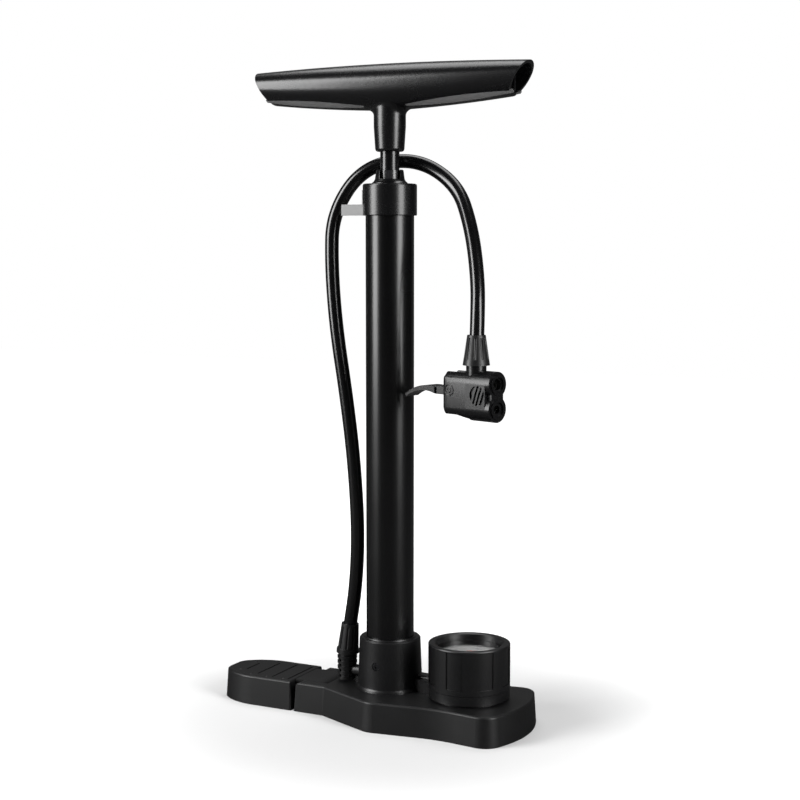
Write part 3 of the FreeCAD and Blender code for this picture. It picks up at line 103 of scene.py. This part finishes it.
class NodeMaker:
    """Builds one node tree."""

    def __init__(self, tree: bpy.types.NodeTree) -> None:
        """Starts from an empty tree."""
        self.tree = tree
        tree.nodes.clear()

    def add(self, kind: str, settings: dict[str, Any] | None = None,
            inputs: dict[Any, Any] | None = None, out: Any = 0) -> Signal:
        """Adds a node.

        Args:
            kind: The node's type name.
            settings: Properties that are set before its sockets.
            inputs: Socket names or numbers with the values or signals they take.
            out: Which output to return.

        Returns:
            The chosen output as a signal.
        """
        node = self.tree.nodes.new(kind)
        for name, value in (settings or {}).items():
            setattr(node, name, value)
        for name, value in (inputs or {}).items():
            if isinstance(value, Signal):
                self.tree.links.new(value.socket, node.inputs[name])
            else:
                node.inputs[name].default_value = value
        return Signal(self, node.outputs[out]) if node.outputs else Signal(self, None)

    def noise(self, size: float, detail: float = 2.0, stretch: Sequence[float] = (1, 1, 1)) -> Signal:
        """Smooth noise on object coordinates.

        Args:
            size: The size of one feature in metres.
            detail: How many finer layers it has.
            stretch: How much coarser the features are along each axis.

        Returns:
            A signal around one half.
        """
        place = self.add("ShaderNodeTexCoord", out="Object")
        scaled = self.add("ShaderNodeVectorMath", {"operation": "MULTIPLY"},
                          {0: place, 1: tuple(1.0 / (size * s) for s in stretch)})
        return self.add("ShaderNodeTexNoise", None, {"Vector": scaled, "Scale": 1.0, "Detail": detail}, "Fac")

    def cells(self, size: float) -> Signal:
        """Distance to the nearest of scattered points, in cells.

        Args:
            size: The mean distance between points in metres.

        Returns:
            A signal from zero at each point to about one half between them.
        """
        place = self.add("ShaderNodeTexCoord", out="Object")
        return self.add("ShaderNodeTexVoronoi", None, {"Vector": place, "Scale": 1.0 / size}, "Distance")

    def blend(self, factor: Any, first: Any, second: Any) -> Signal:
        """Mixes two colours.

        Args:
            factor: Share of the second one.
            first: Colour or signal at zero.
            second: Colour or signal at one.

        Returns:
            The mixed colour.
        """
        return self.add("ShaderNodeMix", {"data_type": "RGBA"}, {0: factor, 6: first, 7: second}, 2)

    def bump(self, height: Signal, depth: float) -> Signal:
        """Turns a height from 0 to 1 into a normal.

        Args:
            height: The height signal.
            depth: What a height of one means in metres.

        Returns:
            The bent normal.
        """
        return self.add("ShaderNodeBump", None, {"Height": height, "Strength": 1.0, "Distance": depth})


def opaque(colour: Sequence[float]) -> tuple[float, float, float, float]:
    """Adds full alpha to a colour."""
    return (colour[0], colour[1], colour[2], 1.0)


def scaled(colour: Sequence[float], factor: float) -> tuple[float, float, float, float]:
    """A colour made lighter or darker, with full alpha."""
    return opaque([factor * c for c in colour])


# ---------------------------------------------------------------------------------- finishes
@dataclass(frozen=True)
class Finish:
    """A surface finish: even parts are plain numbers, and what varies is worked out by vary()."""

    name: str
    colour: tuple[float, float, float]
    roughness: float = 0.5
    metallic: float = 0.0
    specular: float = 0.5
    coat: float = 0.0
    coat_roughness: float = 0.1

    def vary(self, maker: NodeMaker) -> dict[str, Any]:
        """What varies over the surface, as shader inputs.

        Args:
            maker: Adds the nodes.

        Returns:
            Signals by shader input name.
        """
        return {}

    def fixed(self) -> dict[str, Any]:
        """Even values, as shader inputs."""
        return {"Base Color": opaque(self.colour), "Roughness": self.roughness, "Metallic": self.metallic,
                "Specular IOR Level": self.specular, "Coat Weight": self.coat,
                "Coat Roughness": self.coat_roughness}

    def material(self) -> bpy.types.Material:
        """The finish as a Blender material, made once.

        Returns:
            The material.
        """
        title = "finish_" + self.name
        found = bpy.data.materials.get(title)
        if found:
            return found
        made = bpy.data.materials.new(title)
        made.use_nodes = True
        maker = NodeMaker(made.node_tree)
        surface = maker.add("ShaderNodeBsdfPrincipled", None, {**self.fixed(), **self.vary(maker)})
        maker.add("ShaderNodeOutputMaterial", None, {"Surface": surface})
        return made


@dataclass(frozen=True)
class Moulding(Finish):
    """Injection moulded plastic with an eroded grain, faint flow marks and a changing sheen."""

    grain: float = 0.35 * MM
    grain_depth: float = 0.012 * MM
    sheen_swing: float = 0.08
    flow_tone: float = 1.45      # how much lighter the flow marks are

    def vary(self, maker: NodeMaker) -> dict[str, Any]:
        """Fine grain as a bump, broad flow marks in colour and roughness."""
        grain = maker.noise(self.grain, 3.0)
        flow = maker.noise(22 * MM, 2.0, (1.6, 1.0, 1.0))
        speck = maker.noise(1.4 * MM, 2.0)
        mean = self.roughness - 0.75 * self.sheen_swing
        rough = flow * self.sheen_swing + speck * (0.5 * self.sheen_swing) + mean
        return {"Base Color": maker.blend(flow, opaque(self.colour), scaled(self.colour, self.flow_tone)),
                "Roughness": rough,
                "Normal": maker.bump(grain, self.grain_depth)}


@dataclass(frozen=True)
class Enamel(Finish):
    """Sprayed and baked enamel: soft orange peel with a few dust nibs."""

    peel: float = 2.6 * MM
    peel_depth: float = 0.010 * MM

    def vary(self, maker: NodeMaker) -> dict[str, Any]:
        """Orange peel as a bump, and a slow swing of the roughness."""
        peel = maker.noise(self.peel, 1.0)
        broad = maker.noise(40 * MM, 1.0)
        nib = 1.0 - (maker.cells(9 * MM) * 14.0).at_most(1.0)
        return {"Roughness": broad * 0.06 + (self.roughness - 0.03),
                "Base Color": maker.blend(broad, opaque(self.colour), scaled(self.colour, 1.3)),
                "Normal": maker.bump(peel + nib * 0.6, self.peel_depth)}


@dataclass(frozen=True)
class Rubber(Finish):
    """Moulded or extruded rubber: fine talc-like bloom and a soft grain."""

    grain: float = 0.25 * MM
    grain_depth: float = 0.012 * MM
    bloom: float = 0.10
    dusty: float = 1.7           # how much lighter the bloom is

    def vary(self, maker: NodeMaker) -> dict[str, Any]:
        """Bloom lifts the roughness and the colour in patches, the grain is a bump."""
        patches = maker.noise(7 * MM, 3.0)
        return {"Roughness": patches * self.bloom + (self.roughness - 0.5 * self.bloom),
                "Base Color": maker.blend(patches, opaque(self.colour), scaled(self.colour, self.dusty)),
                "Normal": maker.bump(maker.noise(self.grain, 2.0), self.grain_depth)}


@dataclass(frozen=True)
class Extruded(Finish):
    """Smooth extruded rubber: cloudy sheen and faint scuffs, and no grain."""

    def vary(self, maker: NodeMaker) -> dict[str, Any]:
        """Clouds and fine scuffs in roughness, dust in colour."""
        cloud = maker.noise(14 * MM, 2.0)
        scuff = maker.noise(0.9 * MM, 3.0)
        return {"Roughness": cloud * 0.05 + scuff * 0.03 + (self.roughness - 0.04),
                "Base Color": maker.blend(cloud, opaque(self.colour), scaled(self.colour, 1.6))}


@dataclass(frozen=True)
class Metal(Finish):
    """Turned or rolled metal with a directional scratch."""

    metallic: float = 1.0
    scratch: tuple[float, float, float] = (1.0, 1.0, 12.0)

    def vary(self, maker: NodeMaker) -> dict[str, Any]:
        """Fine lines as a bump, cloudy plating in colour and roughness."""
        lines = maker.noise(0.15 * MM, 2.0, self.scratch)
        cloud = maker.noise(3 * MM, 2.0)
        return {"Roughness": cloud * 0.16 + (self.roughness - 0.08),
                "Base Color": maker.blend(cloud, scaled(self.colour, 0.72), opaque(self.colour)),
                "Normal": maker.bump(lines, 0.006 * MM)}


@dataclass(frozen=True)
class Stipple(Finish):
    """Pale grip plastic, spark-eroded to a dense stipple of shallow pits."""

    pit: float = 0.75 * MM
    pit_depth: float = 0.16 * MM

    def vary(self, maker: NodeMaker) -> dict[str, Any]:
        """Pits dent the surface; painted shade darkens the colour in each pit, and dirt varies it at random.
        """
        pits = (maker.cells(self.pit) * 2.4).at_most(1.0)
        dirt = maker.noise(3.5 * MM, 2.0)
        # painted shade: the colour falls to 45 % at the bottom of each pit; a fifth of the swing is random
        # dirt
        pit_shade_and_dirt = pits * 0.8 + dirt * 0.2
        return {"Base Color": maker.blend(pit_shade_and_dirt, scaled(self.colour, 0.45), opaque(self.colour)),
                "Roughness": dirt * 0.1 + (self.roughness - 0.05),
                "Normal": maker.bump(pits, self.pit_depth)}


@dataclass(frozen=True)
class ClearPlastic(Finish):
    """Clear polycarbonate with a hint of haze."""

    def fixed(self) -> dict[str, Any]:
        """Adds transmission to the even values."""
        return {**super().fixed(), "Transmission Weight": 1.0, "IOR": 1.49}

    def vary(self, maker: NodeMaker) -> dict[str, Any]:
        """Haze as a slow swing of the roughness."""
        return {"Roughness": maker.noise(6 * MM, 2.0) * 0.04 + self.roughness}


class Finishes(Enum):
    """The finishes that the pump wears."""

    MOULDED_BLACK = Moulding("moulded_black", (0.0035, 0.0035, 0.0038), roughness=0.36, specular=0.45)
    POLISHED_BLACK = Moulding("polished_black", (0.0025, 0.0025, 0.0028), roughness=0.27, specular=0.50,
                              grain=0.6 * MM, grain_depth=0.004 * MM, sheen_swing=0.05)
    TEXTURED_BLACK = Moulding("textured_black", (0.0030, 0.0030, 0.0032), roughness=0.45, specular=0.45,
                              grain=0.5 * MM, grain_depth=0.03 * MM)
    BARREL_ENAMEL = Enamel("barrel_enamel", (0.0012, 0.0012, 0.0014), roughness=0.26, specular=0.50,
                           peel_depth=0.006 * MM)
    ROD_COATING = Enamel("rod_coating", (0.0020, 0.0020, 0.0022), roughness=0.24, specular=0.50)
    BOOT_RUBBER = Rubber("boot_rubber", (0.0045, 0.0045, 0.0047), roughness=0.40, specular=0.45)
    HOSE_RUBBER = Extruded("hose_rubber", (0.0020, 0.0020, 0.0022), roughness=0.20, specular=0.60)
    SEAL_RUBBER = Rubber("seal_rubber", (0.012, 0.012, 0.012), roughness=0.60)
    ZINC = Metal("zinc_plate", (0.60, 0.60, 0.61), roughness=0.34)
    BLACK_OXIDE = Metal("black_oxide", (0.055, 0.055, 0.060), roughness=0.36)
    BRASS = Metal("turned_brass", (0.74, 0.55, 0.27), roughness=0.30)
    NYLON = Moulding("natural_nylon", (0.52, 0.52, 0.48), roughness=0.48)
    BUSH_BLACK = Moulding("bush_black", (0.012, 0.012, 0.013), roughness=0.22, specular=0.6)
    GRIP_GREY = Stipple("grip_grey", (0.13, 0.13, 0.13), roughness=0.42, specular=0.5)
    CLIP_GREY = Moulding("clip_grey", (0.20, 0.20, 0.20), roughness=0.42)
    LENS = ClearPlastic("clear_lens", (1.0, 1.0, 1.0), roughness=0.02)
    # painted shade: the dial's colour is darkened to a mid grey of 0.34 to stand for the shade deep in the
    # housing under the lens
    SHADED_DIAL = Moulding("dial_face", (0.34, 0.34, 0.33), roughness=0.55,
                         grain=0.2 * MM, grain_depth=0.004 * MM)
    PRINT_BLACK = Moulding("print_black", (0.012, 0.012, 0.012), roughness=0.5)
    NEEDLE_RED = Moulding("needle_red", (0.42, 0.02, 0.015), roughness=0.4)


FINISHED_NODES: dict[Finishes, tuple[str, ...]] = {
    Finishes.TEXTURED_BLACK: ("base_plate", "foot_pedal"),
    Finishes.ZINC: ("pedal_hinge_pin", "base_screws", "gauge_screws", "valve_spring", "piston_washer",
        "piston_nut"),
    Finishes.MOULDED_BLACK: ("barrel_socket", "gauge_body", "gauge_cover"),
    Finishes.BLACK_OXIDE: ("socket_screws", "handle_screw", "lever_pin"),
    Finishes.BARREL_ENAMEL: ("barrel_tube",),
    Finishes.NYLON: ("foot_valve_seat", "piston_head", "clamp_plunger"),
    Finishes.SEAL_RUBBER: ("seat_ring", "piston_seal", "port_seals"),
    Finishes.BRASS: ("valve_poppet", "gauge_spindle", "pressure_coil"),
    Finishes.ROD_COATING: ("piston_rod",),
    Finishes.POLISHED_BLACK: ("barrel_cap", "rod_gland", "handle_body", "head_body", "port_retainer",
        "valve_lever"),
    Finishes.BUSH_BLACK: ("rod_bush",),
    Finishes.CLIP_GREY: ("hose_clip",),
    Finishes.GRIP_GREY: ("grip_strips",),
    Finishes.LENS: ("gauge_lens",),
    Finishes.SHADED_DIAL: ("gauge_dial",),
    Finishes.NEEDLE_RED: ("gauge_needle",),
    Finishes.HOSE_RUBBER: ("hose",),
    Finishes.BOOT_RUBBER: ("strain_relief", "lower_boot", "head_boot"),
}


def wear(piece: bpy.types.Object, finish: Finishes) -> None:
    """Gives a piece one finish all over.

    Args:
        piece: The object.
        finish: What it wears.
    """
    piece.data.materials.clear()
    piece.data.materials.append(finish.value.material())


def dress_nodes() -> None:
    """Gives every node of the frame its finish."""
    for finish, names in FINISHED_NODES.items():
        for name in names:
            wear(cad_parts[name], finish)
            log.info("dressed %s in %s", name, finish.name.lower())


# ---------------------------------------------------------------------------------- valve head
@dataclass(frozen=True)
class HeadCheeks:
    """Rounded side shells of the valve head's rear, with rings round the lever's pin, in millimetres."""

    centre: tuple[float, float, float] = (90.2, -34.9, 265.9)
    turn: float = -18.0          # degrees from +X to the way the ports face
    spread: float = 9.25         # height of the two round edges' centres above and below the middle
    radius: float = 9.7
    inner: float = 5.6           # side of the lever's slot
    front: float = -2.0
    rear: float = -26.5
    edge: float = 3.8            # rounding of the rear
    edge_steps: int = 9
    plain_from: float = -20.0    # where the outline stops changing
    plain_steps: int = 8
    floor_rear: float = -14.8    # underside at the rear, clear of the lever's swing
    floor_front: float = -17.2
    slope_from: float = -14.0    # the underside starts to drop here, over the slope's length
    slope: float = 12.0
    pivot: tuple[float, float] = (-18.5, 3.4)
    rings: tuple[tuple[float, float], ...] = ((4.1, 0.55), (1.7, 0.5))
    ring_sink: float = 0.15      # how deep a ring's middle lies in the side
    ring_around: int = 48
    ring_across: int = 12
    steps: int = 12              # points on each round edge

    def _shell(self, side: int) -> tuple[np.ndarray, list[tuple[int, ...]]]:
        """One side's shell.

        Its outline runs up the outside of a racetrack: across is R sin(a) and height is -(h + R cos(a)) on
        the lower round edge, the same mirrored on the upper one.  Towards the rear the outline moves inward by
        e (1 - sin(g)), and twice that in height, while the station lies e (1 - cos(g)) ahead of the rear end.

        Args:
            side: Which side, 1 or -1.

        Returns:
            Corners in the head's own frame, and faces.
        """
        start = math.asin(self.inner / self.radius)
        angles = np.linspace(start, math.pi / 2, self.steps)
        y_out = self.radius * np.concatenate([np.sin(angles), np.sin(angles[::-1])])
        lean = np.concatenate([-np.cos(angles), np.cos(angles[::-1])])
        end = np.repeat([-1.0, 1.0], self.steps)
        z_out = self.spread * end + self.radius * lean
        curve = np.linspace(0.0, math.pi / 2, self.edge_steps)
        plain = np.linspace(self.plain_from, self.front, self.plain_steps)
        stations = np.concatenate([self.rear + self.edge * (1 - np.cos(curve)), plain])
        insets = np.concatenate([self.edge * (1 - np.sin(curve)), np.zeros(self.plain_steps)])
        corners = []
        for station, inset in zip(stations, insets):
            share = np.clip((station - self.slope_from) / self.slope, 0.0, 1.0)
            floor = self.floor_rear + (self.floor_front - self.floor_rear) * share * share * (3 - 2 * share)
            y = np.maximum(y_out - inset * y_out / self.radius, self.inner)
            z = np.maximum(z_out - 2.0 * inset * lean, floor)
            corners.append(np.column_stack([np.full(y.size, station), side * y, z]))
        count = 2 * self.steps
        last = (len(stations) - 1) * count
        faces = [(low + k, low + (k + 1) % count, low + count + (k + 1) % count, low + count + k)
                 for low in range(0, last, count) for k in range(count)]
        faces += [tuple(range(count - 1, -1, -1)), tuple(range(last, last + count))]
        return np.vstack(corners), faces

    def _ring(self, side: int, major: float, minor: float) -> tuple[np.ndarray, list[tuple[int, ...]]]:
        """A round bead about the pin: a circle of the minor radius carried round one of the major radius.

        Args:
            side: Which side, 1 or -1.
            major: Radius of the bead's middle.
            minor: Radius of its section.

        Returns:
            Corners in the head's own frame, and faces.
        """
        around, across = self.ring_around, self.ring_across
        a, b = np.meshgrid(np.arange(around) * 2 * math.pi / around, np.arange(across) * 2 * math.pi / across,
                           indexing="ij")
        reach = major + minor * np.cos(b)
        outward = side * (self.radius + minor * np.sin(b) - self.ring_sink)
        ahead, up = self.pivot[0] + reach * np.cos(a), self.pivot[1] + reach * np.sin(a)
        corners = np.stack([ahead, outward, up], axis=-1).reshape(-1, 3)
        faces = []
        for i in range(around):
            here, there = i * across, (i + 1) % around * across
            faces += [(here + j, here + (j + 1) % across, there + (j + 1) % across, there + j)
                      for j in range(across)]
        return corners, faces

    def build(self) -> bpy.types.Object:
        """Joins both sides into one piece.

        Returns:
            The shells.
        """
        points, faces, count = [], [], 0
        for side in (-1, 1):
            for corners, rings in [self._shell(side)] + [self._ring(side, *ring) for ring in self.rings]:
                points.append(corners)
                faces += [tuple(count + v for v in face) for face in rings]
                count += len(corners)
        spin = np.array(Matrix.Rotation(math.radians(self.turn), 3, "Z"))
        placed = (np.vstack(points) @ spin.T + np.array(self.centre)) * MM
        mesh = bpy.data.meshes.new("head_cheeks")
        mesh.from_pydata(placed.tolist(), [], faces)
        tidy = bmesh.new()
        tidy.from_mesh(mesh)
        bmesh.ops.remove_doubles(tidy, verts=tidy.verts, dist=0.001 * MM)
        bmesh.ops.recalc_face_normals(tidy, faces=tidy.faces)
        tidy.to_mesh(mesh)
        tidy.free()
        mesh.shade_smooth()
        mesh.set_sharp_from_angle(angle=math.radians(40))
        piece = bpy.data.objects.new("head_cheeks", mesh)
        bpy.context.scene.collection.objects.link(piece)
        wear(piece, Finishes.POLISHED_BLACK)
        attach(piece, "root")
        log.info("valve head's side shells of %d faces", len(mesh.polygons))
        return piece


# ---------------------------------------------------------------------------------- hose
@dataclass
class Hose:
    """The air hose, from the elbow at the barrel's foot round to the valve head."""

    diameter: float = 11.0 * MM
    route: tuple[tuple[float, float, float], ...] = (
        (-39.2, 0.0, 37.0), (-38.0, 0.0, 62.0), (-31.0, 0.0, 102.0), (-28.8, 0.0, 148.0),
        (-32.5, 0.0, 205.0), (-39.6, 0.0, 258.0), (-48.5, 0.0, 311.0), (-52.5, 0.0, 361.0),
        (-51.5, 0.5, 402.0), (-29.0, 10.0, 438.0), (12.0, 20.0, 445.0), (49.0, 19.0, 424.0),
        (70.0, 0.0, 390.0), (84.0, -19.0, 352.0), (90.0, -32.5, 322.0), (90.2, -34.9, 298.0),
    )
    length: float = 636.0 * MM
    on_it: tuple[str, ...] = ("strain_relief", "lower_boot", "head_boot", "head_body", "port_retainer",
                              "port_seals", "clamp_plunger", "valve_lever", "lever_pin")

    def build(self, *shells: bpy.types.Object) -> bpy.types.Object:
        """The hose as a round NURBS curve through the route's control points.

        Args:
            shells: Pieces beside the frame's nodes that are on the hose; not used.

        Returns:
            The hose.
        """
        curve = bpy.data.curves.new("air_hose", "CURVE")
        curve.dimensions = "3D"
        curve.bevel_depth = self.diameter / 2
        curve.bevel_resolution = 10
        curve.resolution_u = 24
        curve.use_fill_caps = True
        spline = curve.splines.new("NURBS")
        spline.points.add(len(self.route) - 1)
        points = np.hstack([np.array(self.route) * MM, np.ones((len(self.route), 1))])
        spline.points.foreach_set("co", points.ravel())
        spline.order_u = 3
        spline.use_endpoint_u = True
        spline.use_smooth = True
        hose = bpy.data.objects.new("air_hose", curve)
        bpy.context.scene.collection.objects.link(hose)
        wear(hose, Finishes.HOSE_RUBBER)
        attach(hose, "root")
        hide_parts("hose")
        log.info("hose of %.0f mm", self.length / MM)
        return hose


# ---------------------------------------------------------------------------------- dial print
@dataclass(frozen=True)
class DialPrint:
    """Scale printed on the gauge's dial: an arc, ticks and plain numbers."""

    centre: tuple[float, float, float] = (69.7 * MM, 0.0, 57.04 * MM)
    start: float = 225.0         # degrees about +Z at zero pressure
    sweep: float = 270.0
    ticks: int = 41
    long_every: int = 5
    long_tick: tuple[float, float] = (3.2 * MM, 0.30 * MM)     # length and half width
    short_tick: tuple[float, float] = (1.9 * MM, 0.16 * MM)
    ring: float = 24.0 * MM
    ring_line: float = 0.5 * MM
    ring_steps: int = 90
    numbers: tuple[str, ...] = ("0", "20", "40", "60", "80", "100", "120", "140", "160")
    number_ring: float = 16.4 * MM
    number_size: float = 4.2 * MM

    def _angle(self, share: float) -> float:
        """Angle in radians at a share of the scale; it runs clockwise from above."""
        return math.radians(self.start - self.sweep * share)

    def _bars(self) -> tuple[np.ndarray, np.ndarray]:
        """Ticks and the arc as quads.

        Each tick is a thin radial bar: two corners at its inner radius and two at the ring, spread half a
        width to each side of its angle.  The arc is a chain of quads between two radii.

        Returns:
            Corners and faces.
        """
        corners, faces = [], []

        def quad(inner: float, outer: float, first: float, last: float) -> None:
            """Adds one quad between two radii and two angles."""
            faces.append(np.arange(4) + 4 * len(faces))
            corners.extend((r * math.cos(a), r * math.sin(a), 0.0)
                           for r, a in ((inner, first), (outer, first), (outer, last), (inner, last)))

        for i in range(self.ticks):
            angle = self._angle(i / (self.ticks - 1))
            length, half = self.short_tick if i % self.long_every else self.long_tick
            quad(self.ring - length, self.ring, angle - half / self.ring, angle + half / self.ring)
        for i in range(self.ring_steps):
            first, last = self._angle(i / self.ring_steps), self._angle((i + 1) / self.ring_steps)
            quad(self.ring, self.ring + self.ring_line, first, last)
        return np.array(corners), np.array(faces)

    def _number(self, text: str, share: float) -> bpy.types.Mesh:
        """One number as a flat mesh at its place on the scale.

        Args:
            text: The number.
            share: Its place, from 0 to 1.

        Returns:
            The mesh.
        """
        curve = bpy.data.curves.new("dial_number", "FONT")
        curve.body, curve.size, curve.align_x, curve.align_y = text, self.number_size, "CENTER", "CENTER"
        holder = bpy.data.objects.new("dial_number", curve)
        mesh = bpy.data.meshes.new_from_object(holder)
        bpy.data.objects.remove(holder)
        angle = self._angle(share)
        place = (self.number_ring * math.cos(angle), self.number_ring * math.sin(angle), 0.0)
        mesh.transform(Matrix.Translation(place) @ Matrix.Rotation(angle - math.pi / 2, 4, "Z"))
        return mesh

    def build(self) -> bpy.types.Object:
        """Joins the marks into one flat piece on the dial.

        Returns:
            The print.
        """
        corners, faces = self._bars()
        points, rings = [corners], [tuple(face) for face in faces]
        count = len(corners)
        for i, text in enumerate(self.numbers):
            mesh = self._number(text, i / (len(self.numbers) - 1))
            block = np.empty(3 * len(mesh.vertices))
            mesh.vertices.foreach_get("co", block)
            points.append(block.reshape(-1, 3))
            rings += [tuple(count + v for v in face.vertices) for face in mesh.polygons]
            count += len(mesh.vertices)
        made = bpy.data.meshes.new("dial_print")
        made.from_pydata((np.vstack(points) + np.array(self.centre)).tolist(), [], rings)
        piece = bpy.data.objects.new("dial_print", made)
        bpy.context.scene.collection.objects.link(piece)
        wear(piece, Finishes.PRINT_BLACK)
        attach(piece, "root")
        log.info("dial print of %d marks", self.ticks + len(self.numbers))
        return piece


# ---------------------------------------------------------------------------------- studio and camera
@dataclass
class Viewpoint:
    """Where the camera stands and looks."""

    bearing: float = 27.3        # degrees round from -Y towards +X, seen from the barrel's axis
    distance: float = 1.257      # from the barrel's axis
    height: float = 0.387
    heading: float = 26.94       # degrees that it looks round from +Y towards -X
    dip: float = 6.0             # degrees that it looks down
    lens: float = 72.0           # millimetres, on a sensor 36 mm wide

    def build(self) -> None:
        """Makes the camera and makes it the scene's."""
        data = bpy.data.cameras.new("studio_camera")
        data.lens = self.lens
        data.sensor_width = 36.0
        data.clip_start = 0.05
        camera = bpy.data.objects.new("studio_camera", data)
        bearing, heading, dip = (math.radians(a) for a in (self.bearing, self.heading, self.dip))
        camera.location = (self.distance * math.sin(bearing), -self.distance * math.cos(bearing), self.height)
        way = Vector((-math.sin(heading) * math.cos(dip), math.cos(heading) * math.cos(dip), -math.sin(dip)))
        camera.rotation_euler = way.to_track_quat("-Z", "Y").to_euler()
        bpy.context.scene.collection.objects.link(camera)
        bpy.context.scene.camera = camera

    def direction(self, turn: float) -> Vector:
        """Level direction from the pump, turned from the camera's side.

        Args:
            turn: Degrees to the right as the camera sees it.

        Returns:
            A unit vector.
        """
        angle = math.radians(self.bearing + turn)
        return Vector((math.sin(angle), -math.cos(angle), 0.0))


@dataclass(frozen=True)
class Softbox:
    """A rectangular studio light that faces the pump."""

    name: str
    turn: float          # degrees to the right of the camera's side
    distance: float
    height: float
    width: float
    tall: float
    power: float
    aim: float = 0.25    # height on the pump that it faces

    def build(self, view: Viewpoint) -> None:
        """Hangs the light.

        Args:
            view: Gives the side that the turn is measured from.
        """
        data = bpy.data.lights.new(self.name, "AREA")
        data.shape = "RECTANGLE"
        data.size, data.size_y, data.energy = self.width, self.tall, self.power
        light = bpy.data.objects.new(self.name, data)
        light.location = view.direction(self.turn) * self.distance + Vector((0, 0, self.height))
        way = Vector((0, 0, self.aim)) - light.location
        light.rotation_euler = way.to_track_quat("-Z", "Y").to_euler()
        bpy.context.scene.collection.objects.link(light)


@dataclass
class Studio:
    """Pale floor, white surroundings and softboxes."""

    view: Viewpoint = field(default_factory=Viewpoint)
    floor_half: float = 3.0
    floor_colour: float = 0.66
    near_lift: float = 0.10      # glow of the floor close to the pump, where it keeps the shadow
    far_lift: float = 1.0
    fade_from: float = 0.12
    fade_to: float = 0.40
    ambient: float = 0.015
    sweep_glow: float = 0.10     # what a gloss sees of the white sweep behind the pump
    floor_gloss: float = 0.06    # what a gloss sees of the floor's glow and paint
    boxes: tuple[Softbox, ...] = (
        Softbox("left_bank", -74.0, 1.6, 0.86, 0.80, 1.50, 42.0, 0.42),
        Softbox("right_bank", 49.0, 1.6, 0.86, 0.70, 1.50, 33.0, 0.42),
        Softbox("top_bank", 170.0, 0.5, 1.7, 1.3, 0.9, 13.0),
    )

    def build(self) -> None:
        """Builds the floor, the surroundings, the lights and the camera."""
        self.view.build()
        for box in self.boxes:
            box.build(self.view)
        self._floor()
        self._surroundings()
        bpy.context.scene.view_settings.view_transform = "Standard"

    def _floor(self) -> None:
        """A wide pale floor that keeps the shadow and glows to white further out."""
        half = self.floor_half
        mesh = bpy.data.meshes.new("studio_floor")
        corners = [(-half, -half, 0), (half, -half, 0), (half, half, 0), (-half, half, 0)]
        mesh.from_pydata(corners, [], [(0, 1, 2, 3)])
        floor = bpy.data.objects.new("studio_floor", mesh)
        bpy.context.scene.collection.objects.link(floor)
        made = bpy.data.materials.new("studio_floor")
        made.use_nodes = True
        maker = NodeMaker(made.node_tree)
        place = maker.add("ShaderNodeTexCoord", out="Object")
        away = maker.add("ShaderNodeVectorMath", {"operation": "LENGTH"}, {0: place}, "Value")
        lift = maker.add("ShaderNodeMapRange", {"interpolation_type": "SMOOTHSTEP"},
                         {"Value": away, "From Min": self.fade_from, "From Max": self.fade_to,
                          "To Min": self.near_lift, "To Max": self.far_lift})
        dim = opaque([self.floor_colour * self.floor_gloss] * 3)
        tint = maker.blend(self._ray(maker, "Glossy"), opaque([self.floor_colour] * 3), dim)
        paint = maker.add("ShaderNodeBsdfDiffuse", None, {"Color": tint})
        strength = self._seen(maker) * lift
        glow = maker.add("ShaderNodeEmission", None, {"Color": (1, 1, 1, 1), "Strength": strength})
        both = maker.add("ShaderNodeAddShader", None, {0: paint, 1: glow})
        maker.add("ShaderNodeOutputMaterial", None, {"Surface": both})
        mesh.materials.append(made)

    @staticmethod
    def _ray(maker: NodeMaker, kind: str) -> Signal:
        """One for rays of one kind, else zero."""
        return maker.add("ShaderNodeLightPath", None, None, f"Is {kind} Ray")

    def _seen(self, maker: NodeMaker) -> Signal:
        """One for rays that the eye follows straight or through glass, less in a gloss, else zero."""
        return (self._direct(maker) + self._ray(maker, "Glossy") * self.floor_gloss).at_most(1.0)

    def _direct(self, maker: NodeMaker) -> Signal:
        """One for rays from the eye, also through glass but not from a matt surface under it, else zero."""
        matt = maker.add("ShaderNodeLightPath", None, None, "Diffuse Depth").above(0.5)
        return (self._ray(maker, "Camera") + self._ray(maker, "Transmission")) * (1.0 - matt)

    def _surroundings(self) -> None:
        """White surroundings for the eye; a gloss sees them behind the pump, where the white sweep stands."""
        world = bpy.data.worlds.new("studio_surroundings")
        bpy.context.scene.world = world
        world.use_nodes = True
        maker = NodeMaker(world.node_tree)
        way = maker.add("ShaderNodeTexCoord", out="Generated")
        behind = tuple(self.view.direction(180.0))
        facing = maker.add("ShaderNodeVectorMath", {"operation": "DOT_PRODUCT"}, {0: way, 1: behind}, "Value")
        sweep = maker.add("ShaderNodeMapRange", {"interpolation_type": "SMOOTHSTEP"},
                          {"Value": facing, "From Min": 0.55, "From Max": 0.85})
        gloss = self._ray(maker, "Glossy") * sweep * self.sweep_glow
        white = (self._direct(maker) + gloss).at_most(1.0)
        sky = maker.add("ShaderNodeBackground", None,
                        {"Color": (1, 1, 1, 1), "Strength": white * (1.0 - self.ambient) + self.ambient})
        maker.add("ShaderNodeOutputWorld", None, {"Surface": sky})


def main() -> None:
    """Builds the studio, dresses the frame and adds the pieces."""
    logging.basicConfig(level=logging.INFO)
    Studio().build()
    Hose().build(HeadCheeks().build())
    DialPrint().build()
    dress_nodes()


if __name__ == "__main__":
    main()
